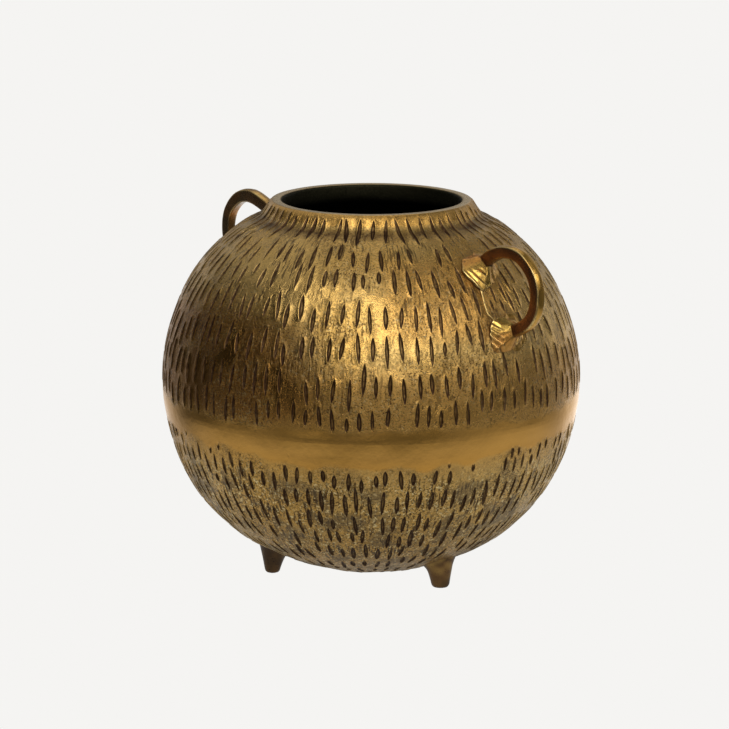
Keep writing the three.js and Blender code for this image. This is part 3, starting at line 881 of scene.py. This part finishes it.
def build_lower():
    mesh = Mesh()
    marks = settle(lay_marks(ROWS_LOW, s_of_r_low(33.0), -SEAM_HALF - 1, 23, (1.15, 1.60)), s_of_r_low(33.0), -SEAM_HALF - 1)
    e, f = shell_skin(mesh, -1, -SEAM_HALF, S_LOW, N_EDGE, 24, marks, True)
    g = mesh.add(body_point(np.full(N_EDGE, -SEAM_HALF), EDGE_T, relief(np.full(N_EDGE, -SEAM_HALF), EDGE_T)), worn=1.0)
    a = ring_at(mesh, 124.9, SEAM_Z - 0.1, N_EDGE, inside=0.4)
    mesh.strip(g, a)
    n_in = 128
    b = ring_at(mesh, 122.0, SEAM_Z - 0.12, n_in, inside=1.0)
    bridge(mesh, a, b)
    prev = b
    ip = inner_profile(-2.0, s_of_r_low(4.0), 44)
    for r, z in ip:
        cur = ring_at(mesh, r, z, n_in, inside=1.0)
        mesh.strip(prev, cur)
        prev = cur
    c = mesh.add([[0, 0, 3.4 + BASE_WALL]], inside=1.0)[0]
    mesh.fan(prev, c)
    return mesh.build("lower_shell_fine", slot="shell_brass", replaces=("lower_shell",), material=MAT_SHELL), marks


def build_braze():
    mesh = Mesh()
    rings = []
    for s in np.linspace(-SEAM_HALF, SEAM_HALF, 5):
        S = np.full(N_EDGE, s)
        P = body_point(S, EDGE_T, relief(S, EDGE_T))
        rings.append(mesh.add(P, cav=0.0, worn=1.0, inside=0.0))
    for a, b in zip(rings, rings[1:]):
        mesh.strip(a, b)
    inner = ring_at(mesh, 125.6, SEAM_Z, N_EDGE, worn=1.0)
    top = mesh.add(np.vstack(mesh.v)[rings[-1]], worn=1.0)
    bot = mesh.add(np.vstack(mesh.v)[rings[0]], worn=1.0)
    mesh.strip(top, inner)
    mesh.strip(inner, bot)
    return mesh.build("belly_seam_braze_fine", slot="seam_brass", replaces=("belly_seam_braze",), material=MAT_SHELL)


# ------------------------------------------------------------------ handles
def section(a=3.6, b=3.3, c=1.20):
    """A square bar with small rounded corners and slightly crowned faces: offsets (radial, side), corner and outer-face values."""
    out, corner, outer = [], [], []
    for q in range(4):
        A, B = (a, b) if q % 2 == 0 else (b, a)
        cq, sq = round(math.cos(q * math.pi / 2)), round(math.sin(q * math.pi / 2))
        crown = 0.34 if q == 0 else 0.10
        for u in np.linspace(-1, 1, 7):
            y = u * (B - c)
            x = A + crown * (1 - u * u) - 0.02
            out.append((x * cq - y * sq, x * sq + y * cq))
            corner.append(0.0)
            outer.append(1.0 if q == 0 else 0.0)
        for w in (0.22, 0.5, 0.78):
            ang = w * math.pi / 2
            x, y = A - c + c * math.cos(ang), B - c + c * math.sin(ang)
            out.append((x * cq - y * sq, x * sq + y * cq))
            corner.append(1.0 if q in (0, 3) else 0.35)
            outer.append({0: 1 - w, 3: w}.get(q, 0.0))
    return np.array(out), np.array(corner), np.array(outer)


def build_handle(name, az, lift):
    up, low = ENDS[name]["upper"], ENDS[name]["lower"]

    def pt(s, d):
        r, z, nr, nz = [float(x) for x in at(s)]
        return (r + nr * d, z + nz * d)

    path = [pt(up, 0.6), pt(up, 3.0), pt(up, 6.6)] + [(r, z + lift) for r, z in LOOP] + [pt(low, 6.6), pt(low, 3.0), pt(low, 0.6)]
    C = spline(path, 0.8)
    T = np.gradient(C, axis=0)
    T /= np.linalg.norm(T, axis=1)[:, None]
    Nn = np.stack([-T[:, 1], T[:, 0]], 1)
    mid = C.mean(0)
    if ((C - mid) * Nn).sum() < 0:
        Nn = -Nn
    sec, corner, outer = section()
    g = waves(10, 14, 38, 31 if name == "right" else 32)
    gf = waves(12, 4, 9, 33 if name == "right" else 34)
    mesh = Mesh()
    rings = []
    L = np.linspace(0, 1, len(C))
    for i, (c, nn) in enumerate(zip(C, Nn)):
        thick = 1.0 + 0.04 * math.sin(3.1 * L[i] * math.pi + 0.4) - 0.02 * math.sin(math.pi * L[i])
        if name == "left":
            thick += 0.16 * math.exp(-((L[i] - 0.36) / 0.15) ** 2)
        x = c[0] + nn[0] * sec[:, 0] * thick
        z = c[1] + nn[1] * sec[:, 0] * thick
        y = sec[:, 1] * (0.98 + 0.03 * math.sin(5 * L[i] + 1))
        P = np.stack([x, y, z], 1)
        P = P + (0.13 * g(P) + 0.03 * gf(P))[:, None] * np.stack([nn[0] * sec[:, 0] / 3.6, sec[:, 1] / 3.3 * 0.6, nn[1] * sec[:, 0] / 3.6], 1)
        far = P[:, 0] > 142.8
        P[:, 0] = np.where(far, 142.8 + 0.6 * np.tanh((P[:, 0] - 142.8) / 0.6), P[:, 0])
        # the corners are painted pale, the outer ones most: partly rubbed metal, partly painted highlight on the arris
        rub_and_glint = corner * np.clip(0.62 + 0.5 * g(P * 1.9), 0.1, 1)
        # cav darkens the last few rings at each end, where the bar goes into a lug: painted shade
        end = max(0.0, 1 - min(i, len(C) - 1 - i) / 8.0)
        near = max(0.0, 1 - min(i, len(C) - 1 - i) / 22.0)
        rings.append(mesh.add(P, edge=np.clip(rub_and_glint, 0, 1) * (1 - near) * 0.85, bare=np.clip(outer * 1.15 * (1 - near) + 0.05, 0, 1), cav=0.75 * end))
    for a, b in zip(rings, rings[1:]):
        mesh.strip(a, b, flip=True)
    for ring, flip in ((rings[0], False), (rings[-1], True)):
        v = np.vstack(mesh.v)[ring].mean(0)
        c = mesh.add([v], cav=1.0)[0]
        mesh.fan(ring, c, flip=flip)
    V = np.vstack(mesh.v)
    # faces must look outwards whichever way the path runs
    f = mesh.f[len(mesh.f) // 2]
    fc = V[list(f)].mean(0)
    fn = np.cross(V[f[1]] - V[f[0]], V[f[2]] - V[f[1]])
    k = int(np.argmin(np.linalg.norm(C - fc[[0, 2]], axis=1)))
    if np.dot(fn, fc - np.array([C[k][0], 0, C[k][1]])) < 0:
        mesh.f = [t[::-1] for t in mesh.f]
    R = np.array([[math.cos(az), -math.sin(az), 0], [math.sin(az), math.cos(az), 0], [0, 0, 1]])
    mesh.v = [V @ R.T]
    return mesh.build(name + "_handle_ring_fine", slot="handle_brass", replaces=(name + "_handle_ring",), material=MAT_HANDLE if name == "right" else MAT_HANDLE_LEFT_PATINA_AND_FILL)


LUG_OUTLINE = {
    "upper": ([0, 15, 31, 50, 77, 100, 123, 150, 180], [12.5, 15.5, 19.6, 17.6, 17.2, 14.6, 12.6, 9.8, 8.8]),
    "lower": ([0, 30, 59, 80, 100, 122, 140, 160, 180], [9.0, 11.0, 15.0, 15.4, 16.2, 18.0, 14.0, 11.0, 9.6]),
}


def smooth(x, lo, hi):
    t = np.clip((x - lo) / (hi - lo), 0, 1)
    return t * t * (3 - 2 * t)


def build_lug(name, which, az):
    s0 = ENDS[name][which]
    inward = -1.0 if which == "upper" else 1.0      # towards the loop's middle, along s
    front = -1.0 if name == "right" else 1.0        # the side that carries the leaf-shaped lobe
    mesh = Mesh()
    n = 144
    phi = np.arange(n) * 2 * math.pi / n - math.pi
    ca, sa = np.cos(phi), np.sin(phi)               # ca along s (positive = inward), sa tangential
    g = np.random.default_rng(hash_name(name + which))
    lobe = smooth(sa * front, -0.28, 0.22)
    ang, rad_ = LUG_OUTLINE[which]
    R = np.interp(np.degrees(np.abs(phi)), ang, rad_)
    R = R * lobe + (11.8 + 1.2 * np.abs(sa)) * (1 - lobe)
    R = R * (1 + 0.016 * np.sin(9 * phi + g.uniform(0, 6)) + 0.012 * np.sin(19 * phi + g.uniform(0, 6)))
    q = 5.0
    B = 1.0 / ((np.abs(ca) / 3.9) ** q + (np.abs(sa) / 3.6) ** q) ** (1 / q)
    rough = waves(14, 3.0, 9.0, hash_name(which + name))
    levels = np.r_[0.0, 0.025, np.linspace(0.06, 0.90, 19), 0.93, 0.955, 0.98, 1.0]
    prev = first = None
    for j, t in enumerate(levels):
        rad = B * 0.93 + (R - B * 0.93) * t
        a = rad * ca
        b = rad * sa * front                        # positive on the lobe's side
        leaf = 4.6 * (1 - t) ** 1.15 + 1.35 - 1.05 * t * smooth(-ca, -0.25, 0.5)
        flare = 5.4 * (1 - t) ** 2.3 + 0.02
        h = leaf * lobe + flare * (1 - lobe)
        # facets left by the chisel and the grinder
        if which == "upper":
            u = (-0.435 * a - 0.90 * b) / 3.4
            wave_ = u + 0.22 * np.sin(1.7 * u + 0.2 * a)
            mask = 0.72 * lobe * smooth(b, 3.5, 6.5) * smooth(a, -0.5, 5.0)
        else:
            u = (0.62 * a - 0.78 * b) / 3.3
            wave_ = u + 0.20 * np.sin(1.3 * u + 0.3 * b)
            mask = lobe * smooth(b, 6.5, 10.5)
        saw = (wave_ + 0.37) % 1.0
        ridge = np.where(saw < 0.72, saw / 0.72, (1 - saw) / 0.28)
        rise = smooth(t, 0.0, 0.15)
        arc = math.exp(-((t - 0.40) / 0.06) ** 2) * (1 - lobe) * (0.9 if which == "lower" else 0.4)
        sunk = math.exp(-((t - 0.56) / 0.07) ** 2) * (1 - lobe) * (0.9 if which == "lower" else 0.4)
        h = h + (0.95 * (ridge - 0.6) * mask) * rise + 0.40 * arc - 0.25 * sunk
        P0 = body_point(s0 + a * inward, az + b * front / at(s0 + a * inward)[0])
        h = h + 0.13 * rough(P0) * rise * (1 - smooth(t, 0.8, 1.0) * (1 - lobe))
        if t >= 0.999:
            h = np.full(n, -0.4)
        elif t > 0.97:
            h = np.where(lobe > 0.5, h * 0.45, h - 0.05)
        elif t > 0.95:
            h = np.where(lobe > 0.5, h * 0.9, h)
        s = s0 + a * inward
        th = az + b * front / at(s)[0]
        P = body_point(s, th, relief(s, th) + h)
        # dark where cav is set: painted shade round the bar's socket and on the lobe's outer wall under its step, and
        # patina in the flute valleys and the sunk ring. Pale where edge is set, on the flute ridges, the raised ring
        # and the lobe's lower edge: partly rubbed metal, partly painted highlight
        if t >= 0.97:
            cav, edge, bare = 0.85 * lobe + 0.2 * (1 - lobe), 0.0, 0.6 * (1 - lobe)
        else:
            cav = (1 - smooth(ridge, 0.0, 0.35)) * mask * 0.95 + 0.75 * (1 - smooth(t, 0.0, 0.10)) + 0.7 * sunk
            edge = smooth(ridge, 0.80, 0.98) * mask * 0.85 + 0.8 * arc + (0.8 * lobe * smooth(ca, -0.5, 0.3) if t > 0.91 else 0.0)
            bare = lobe * (1.25 - 1.05 * smooth(-ca, -0.50, 0.25)) + 0.62 * (1 - lobe)
        cur = mesh.add(P, cav=np.clip(cav, 0, 1), edge=np.clip(edge, 0, 1), bare=np.clip(bare, 0, 1))
        if prev is not None:
            mesh.strip(prev, cur, flip=inward > 0)
        else:
            first = cur
        prev = cur
    # underside and the pocket's inner wall
    for t, h in ((0.5, -0.4), (0.0, -0.4)):
        rad = B * 0.93 + (R - B * 0.93) * t
        s = s0 + rad * ca * inward
        th = az + rad * sa / at(s)[0]
        cur = mesh.add(body_point(s, th, relief(s, th) + h), cav=1.0)
        mesh.strip(prev, cur, flip=inward > 0)
        prev = cur
    mesh.strip(prev, first, flip=inward > 0)
    if which == "upper":
        # a thin bead of metal left standing on the skin, from the lug's tip down beside the loop
        low = ENDS[name]["lower"]
        path = [(s0 - 15.5, 10.4), (s0 - 20.7, 11.3), (s0 - 26.0, 12.1), (s0 - 30.2, 12.0), (s0 - 34.3, 9.2), (low + 6.5, 5.3), (low + 5.0, 3.0)]
        path = [(p, q_ * front) for p, q_ in path]
        C = spline(path, 0.7)
        T = np.gradient(C, axis=0)
        T /= np.linalg.norm(T, axis=1)[:, None]
        wob = np.random.default_rng(hash_name(name)).normal(0, 1, (len(C), 3))
        rings = []
        m = 9
        for i, (c, tt) in enumerate(zip(C, T)):
            w = 0.62 + 0.08 * wob[i, 0] + 0.35 * max(0, 1 - i / 7)
            hh = 0.62 + 0.10 * wob[i, 1] + 0.5 * max(0, 1 - i / 7)
            if i > len(C) - 5:
                hh *= (len(C) - i) / 5
            psi = np.linspace(0, math.pi, m)
            u = np.r_[np.cos(psi) * w, np.cos(psi[1:-1])[::-1] * w * 0.9]
            v = np.r_[np.sin(psi) ** 0.8 * hh - 0.06, np.full(m - 2, -0.25)]
            s = c[0] + u * (-tt[1])
            b = c[1] + u * tt[0]
            th = az + b / at(s)[0]
            e = np.r_[np.clip(np.sin(psi) * 1.2 - 0.3, 0, 1), np.zeros(m - 2)]
            rings.append(mesh.add(body_point(s, th, relief(s, th) + v), edge=e, bare=0.8, cav=np.r_[1 - np.sin(psi), np.ones(m - 2)] * 0.8))
        for a_, b_ in zip(rings, rings[1:]):
            mesh.strip(a_, b_)
        for ring, fl in ((rings[0], True), (rings[-1], False)):
            c = mesh.add([np.vstack(mesh.v)[ring].mean(0)], cav=0.5)[0]
            mesh.fan(ring, c, flip=fl)
    return mesh.build(f"{name}_{which}_lug_fine", slot="lug_brass", replaces=(f"{name}_{which}_lug",), material=MAT_LUG)


def hash_name(t):
    h = 7
    for c in t:
        h = (h * 131 + ord(c)) % 1_000_003
    return h


def build_foot(name, az):
    mesh = Mesh()
    n = 64
    phi = np.arange(n) * 2 * math.pi / n
    g = waves(8, 8, 20, hash_name(name))
    wide = {"right_foot": 1.08, "front_left_foot": 1.06, "rear_left_foot": 1.04}[name]
    stout = 0.75 if name == "right_foot" else 0.0
    pad, low_r, neck_r, foot_r = 2.9 + stout * 0.7, 4.75 + stout, 7.3 * wide, 10.2 * wide
    ux, uy = np.cos(phi), np.sin(phi)
    # where the flare meets the skin, in the foot's own frame (+X outwards)
    s = S_FOOT + foot_r * ux * 0.93
    r = at(s)[0]
    th = foot_r * uy / r
    E = body_point(s, th, relief(s, th + az) - 0.25)
    Nx = at(s)
    rows = []
    rows.append((np.stack([FOOT_R + pad * ux, pad * uy, np.zeros(n)], 1), 0.6))
    rows.append((np.stack([FOOT_R + (low_r - 1.0) * ux, (low_r - 1.0) * uy, np.full(n, 0.32)], 1), 0.4))
    rows.append((np.stack([FOOT_R + (low_r - 0.3) * ux, (low_r - 0.3) * uy, np.full(n, 1.1)], 1), 0.1))
    P0 = np.stack([FOOT_R + (low_r + 0.1) * ux, (low_r + 0.1) * uy, np.full(n, 2.4)], 1)
    zs = E[:, 2]
    P1 = np.stack([FOOT_R + neck_r * 0.98 * ux, neck_r * 0.98 * uy, zs - 1.2 - 0.10 * (zs - zs.min())], 1)
    for k in np.linspace(0, 1, 15):
        P = (1 - k) ** 2 * P0 + 2 * k * (1 - k) * P1 + k * k * E
        w = 0.16 * g(P * 1.0) * math.sin(math.pi * min(max(k, 0.08), 1))
        P = P + np.stack([w * ux, w * uy, 0 * w], 1)
        # cav rises towards the joint with the body: painted shade where the foot meets the pot
        rows.append((P, 0.35 * k ** 6 + 0.12))
    prev = None
    for P, c in rows:
        cur = mesh.add(P, cav=c, edge=0.0, bare=np.clip(0.50 + 0.45 * g(P * 1.3), 0, 1) * (0.55 if name == 'front_left_foot' else 1.05))
        if prev is None:
            m = mesh.add([[FOOT_R, 0, 0]], cav=0.6)[0]
            mesh.fan(cur, m, flip=True)
        else:
            mesh.strip(prev, cur)
        prev = cur
    # close it just under the skin
    inn = mesh.add(body_point(S_FOOT + (foot_r - 2) * ux * 0.93, (foot_r - 2) * uy / at(S_FOOT + (foot_r - 2) * ux * 0.93)[0], -0.6), cav=1.0)
    mesh.strip(prev, inn)
    c = mesh.add(body_point(np.array([S_FOOT]), np.array([0.0]), -0.6), cav=1.0)[0]
    mesh.fan(inn, c)
    V = np.vstack(mesh.v)
    R = np.array([[math.cos(az), -math.sin(az), 0], [math.sin(az), math.cos(az), 0], [0, 0, 1]])
    mesh.v = [V @ R.T]
    return mesh.build(name + "_fine", slot="foot_brass", replaces=(name,), material=MAT_FOOT)


upper, MARKS_UP = build_upper()
lower, MARKS_LOW = build_lower()
braze = build_braze()
for nm, (az, lift) in HANDLES.items():
    build_handle(nm, az, lift)
    for which in ("upper", "lower"):
        build_lug(nm, which, az)
for nm, az in FEET.items():
    build_foot(nm, az)

# the screws and washers inside keep their CAD shape
for node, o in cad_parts.items():
    if node.endswith("_screw") or node.endswith("_washer"):
        o.data.materials.clear()
        o.data.materials.append(MAT_FIX)

# ------------------------------------------------------------------ camera
DIST, ELEV, AZ = 1.9793, math.radians(12.208), math.radians(47.0)
F_PX = 3245.6
LOOK = Vector((0, 0, 0.1325))
back = Vector((math.sin(AZ) * math.cos(ELEV), -math.cos(AZ) * math.cos(ELEV), math.sin(ELEV)))
fwd = -back
right = Vector((math.cos(AZ), math.sin(AZ), 0))
upv = right.cross(fwd)
PAN = math.atan2(6.65, F_PX)
TILT = math.atan2(-8.12, F_PX)
ROLL = math.radians(0.147)
cam_data = bpy.data.cameras.new("camera")
cam = bpy.data.objects.new("camera", cam_data)
bpy.context.scene.collection.objects.link(cam)
cam_data.sensor_width = 36.0
cam_data.lens = F_PX / 729 * 36.0
cam_data.clip_start = 0.05
cam_data.clip_end = 50
y2 = upv * math.cos(TILT) - fwd * math.sin(TILT)
z2 = upv * math.sin(TILT) + fwd * math.cos(TILT)
x2 = right * math.cos(PAN) + z2 * math.sin(PAN)
z3 = -right * math.sin(PAN) + z2 * math.cos(PAN)
Rc = x2 * math.cos(ROLL) + y2 * math.sin(ROLL)
Uc = y2 * math.cos(ROLL) - x2 * math.sin(ROLL)
mat = Matrix.Identity(4)
for i in range(3):
    mat[i][0], mat[i][1], mat[i][2] = Rc[i], Uc[i], -z3[i]
loc = LOOK + back * DIST
for i in range(3):
    mat[i][3] = loc[i]
cam.matrix_world = mat
bpy.context.scene.camera = cam

# ------------------------------------------------------------------ stage and light
bpy.context.scene.view_settings.view_transform = "Standard"
bpy.context.scene.view_settings.look = "None"
PALE = (0.913, 0.905, 0.888)


def flat_material(name, colour):
    m = new_material(name)
    N = Nodes(m)
    e = N.new("ShaderNodeEmission")
    e.inputs[0].default_value = (*colour, 1)
    e.inputs[1].default_value = 1.0
    o = N.new("ShaderNodeOutputMaterial")
    N.link(e.outputs[0], o.inputs[0])
    return m


def stage_mesh(name, verts, faces, material, camera, light):
    """A stage piece: seen by the camera only, or only in reflections and as light on the pot."""
    me = bpy.data.meshes.new(name)
    me.from_pydata(verts, [], faces)
    me.materials.append(material)
    o = bpy.data.objects.new(name, me)
    bpy.context.scene.collection.objects.link(o)
    o.visible_camera = camera
    o.visible_glossy = o.visible_diffuse = o.visible_transmission = light
    o.visible_shadow = light
    return o


PALE_MAT = flat_material("pale_stage", PALE)
floor = stage_mesh("floor", [(-9, -9, -0.0002), (9, -9, -0.0002), (9, 9, -0.0002), (-9, 9, -0.0002)], [(0, 1, 2, 3)], PALE_MAT, True, False)
wall_v = [(9 * math.cos(k * math.pi / 16), 9 * math.sin(k * math.pi / 16), z) for z in (0, 6) for k in range(32)]
backdrop = stage_mesh("backdrop", wall_v, [(k, (k + 1) % 32, 32 + (k + 1) % 32, 32 + k) for k in range(32)], PALE_MAT, True, False)

# How bright the studio is, all round the pot. Rows are heights in degrees, and columns run round it in even steps
# from behind, by the left, the front (the middle column) and the right.
SKY_EL = [0.0, 15.0, 32.0, 50.0, 68.0, 90.0]
SKY = [
    [0.23, 0.55, 0.02, 0.09, 0.02, 0.02, 0.02, 0.02, 0.02, 0.67, 0.46, 0.47, 0.02, 0.02, 0.19, 1.06, 0.38, 0.02],
    [0.19, 0.55, 0.02, 0.02, 0.02, 0.02, 0.02, 0.02, 0.02, 0.07, 0.02, 0.18, 0.32, 0.02, 0.02, 0.41, 0.45, 0.64],
    [0.02, 0.38, 0.42, 0.02, 0.02, 0.02, 0.02, 0.23, 2.74, 0.34, 0.02, 2.33, 2.78, 0.14, 0.02, 0.39, 0.18, 0.23],
    [0.84, 0.48, 0.25, 0.43, 0.42, 0.02, 0.15, 2.41, 2.27, 1.34, 0.02, 0.27, 0.61, 0.12, 0.25, 0.15, 0.02, 0.92],
    [0.50, 0.42, 0.51, 0.58, 0.31, 0.02, 0.10, 0.88, 0.46, 0.24, 0.02, 0.02, 0.45, 0.45, 0.02, 0.02, 0.46, 0.82],
    [0.57, 0.57, 0.57, 0.57, 0.57, 0.57, 0.57, 0.57, 0.57, 0.57, 0.57, 0.57, 0.57, 0.57, 0.57, 0.57, 0.57, 0.57],
]
# The floor's brightness in reflections: rows are distances from the pot's axis in metres.
FLOOR_R = [0.08, 0.22, 0.42, 0.80, 2.0]
FLOOR = [
    [0.35, 0.35, 0.35, 0.35, 0.35, 0.35, 0.35, 0.35],
    [0.52, 0.57, 0.56, 0.47, 0.51, 0.54, 0.59, 1.07],
    [1.20, 0.03, 0.18, 0.00, 0.00, 0.34, 0.27, 1.80],
    [0.40, 0.07, 0.00, 0.53, 0.32, 0.03, 0.07, 0.95],
    [0.75, 0.00, 0.00, 0.00, 0.03, 0.00, 0.34, 0.57],
]
KEY_W, FILL_W = 3.75, 1.50

world = bpy.data.worlds.new("studio")
bpy.context.scene.world = world
world.use_nodes = True
world.node_tree.nodes.clear()
W = Nodes(world)
direction = W.new("ShaderNodeTexCoord").outputs["Generated"]
xyz = W.new("ShaderNodeSeparateXYZ")
W.link(direction, xyz.inputs[0])
turn = W.math("ARCTAN2", xyz.outputs["X"], W.math("MULTIPLY", xyz.outputs["Y"], -1.0))
turn = W.math("FRACT", W.math("ADD", W.math("MULTIPLY", W.math("SUBTRACT", turn, AZ), 1 / (2 * math.pi)), 1.5))
height = W.math("MULTIPLY", W.math("ARCSINE", xyz.outputs["Z"]), 180 / math.pi)
TOP = max(max(r) for r in SKY)
value = None
for k, row in enumerate(SKY):
    r = W.new("ShaderNodeValToRGB")
    r.color_ramp.interpolation = "LINEAR"
    W.link(turn, r.inputs[0])
    stops = [((c + 0.5) / len(row), v) for c, v in enumerate(row)]
    seam = 0.5 * (row[0] + row[-1])
    stops = [(0.0, seam)] + stops + [(1.0, seam)]
    el = r.color_ramp.elements
    for pos, v in stops[1:-1]:
        el.new(pos)
    for e, (pos, v) in zip(sorted(el, key=lambda q: q.position), stops):
        e.position = pos
        e.color = (v / TOP, v / TOP, v / TOP, 1)
    if value is None:
        value = r.outputs[0]
    else:
        value = W.mix(W.ramp(height, SKY_EL[k - 1], SKY_EL[k], smooth=False), value, r.outputs[0])
bg = W.new("ShaderNodeBackground")
W.link(value, bg.inputs[0])
bg.inputs[1].default_value = TOP
wo = W.new("ShaderNodeOutputWorld")
W.link(bg.outputs[0], wo.inputs[0])


def floor_value(table, x, y):
    """Bilinear in the table, by direction and by the logarithm of distance."""
    r = np.log(np.maximum(np.hypot(x, y), 1e-3))
    rel = ((np.arctan2(x, -y) - AZ) / (2 * math.pi) + 1.5) % 1.0
    c = rel * 8 - 0.5
    c0 = np.floor(c).astype(int)
    f = c - c0
    t = np.array(table, float)
    rows = t[:, c0 % 8] * (1 - f) + t[:, (c0 + 1) % 8] * f
    q = np.clip(np.interp(r, np.log(FLOOR_R), np.arange(len(FLOOR_R))), 0, len(FLOOR_R) - 1)
    q0 = np.minimum(q.astype(int), len(FLOOR_R) - 2)
    g = q - q0
    n = np.arange(len(x))
    return rows[q0, n] * (1 - g) + rows[q0 + 1, n] * g


def floor_card():
    radii = [0.0] + list(np.exp(np.linspace(math.log(0.04), math.log(4.0), 26)))
    n = 48
    verts, faces = [(0.0, 0.0, 0.0)], []
    for r in radii[1:]:
        verts += [(r * math.cos(2 * math.pi * k / n), r * math.sin(2 * math.pi * k / n), 0.0) for k in range(n)]
    faces += [(0, 1 + k, 1 + (k + 1) % n) for k in range(n)]
    for i in range(len(radii) - 2):
        a, b = 1 + i * n, 1 + (i + 1) * n
        faces += [(a + k, b + k, b + (k + 1) % n, a + (k + 1) % n) for k in range(n)]
    m = new_material("floor_card")
    N = Nodes(m)
    e = N.new("ShaderNodeEmission")
    N.link(N.attr("glow"), e.inputs[1])
    e.inputs[0].default_value = (1, 1, 1, 1)
    o = N.new("ShaderNodeOutputMaterial")
    N.link(e.outputs[0], o.inputs[0])
    card = stage_mesh("floor_card", verts, faces, m, False, True)
    v = np.array(verts)
    a = card.data.attributes.new("glow", "FLOAT", "POINT")
    a.data.foreach_set("value", floor_value(FLOOR, v[:, 0], v[:, 1]).astype(np.float32))
    return card


card = floor_card()


def softbox(name, az_deg, el_deg, dist, size, power):
    """A panel in the direction (az, el), with az measured like the camera's from it: 0 is the camera's side, 90 the right."""
    a = AZ + math.radians(az_deg)
    e = math.radians(el_deg)
    d = Vector((math.sin(a) * math.cos(e), -math.cos(a) * math.cos(e), math.sin(e)))
    l = bpy.data.lights.new(name, "AREA")
    l.shape = "RECTANGLE"
    l.size, l.size_y = size
    l.energy = power
    o = bpy.data.objects.new(name, l)
    bpy.context.scene.collection.objects.link(o)
    o.location = Vector((0, 0, 0.12)) + d * dist
    o.rotation_euler = (-d).to_track_quat("-Z", "Y").to_euler()
    o.visible_camera = False
    return o


key = softbox("key", 13, 31, 1.7, (0.62, 1.1), KEY_W)
fill = softbox("fill", -22, 60, 1.7, (1.0, 1.0), FILL_W)
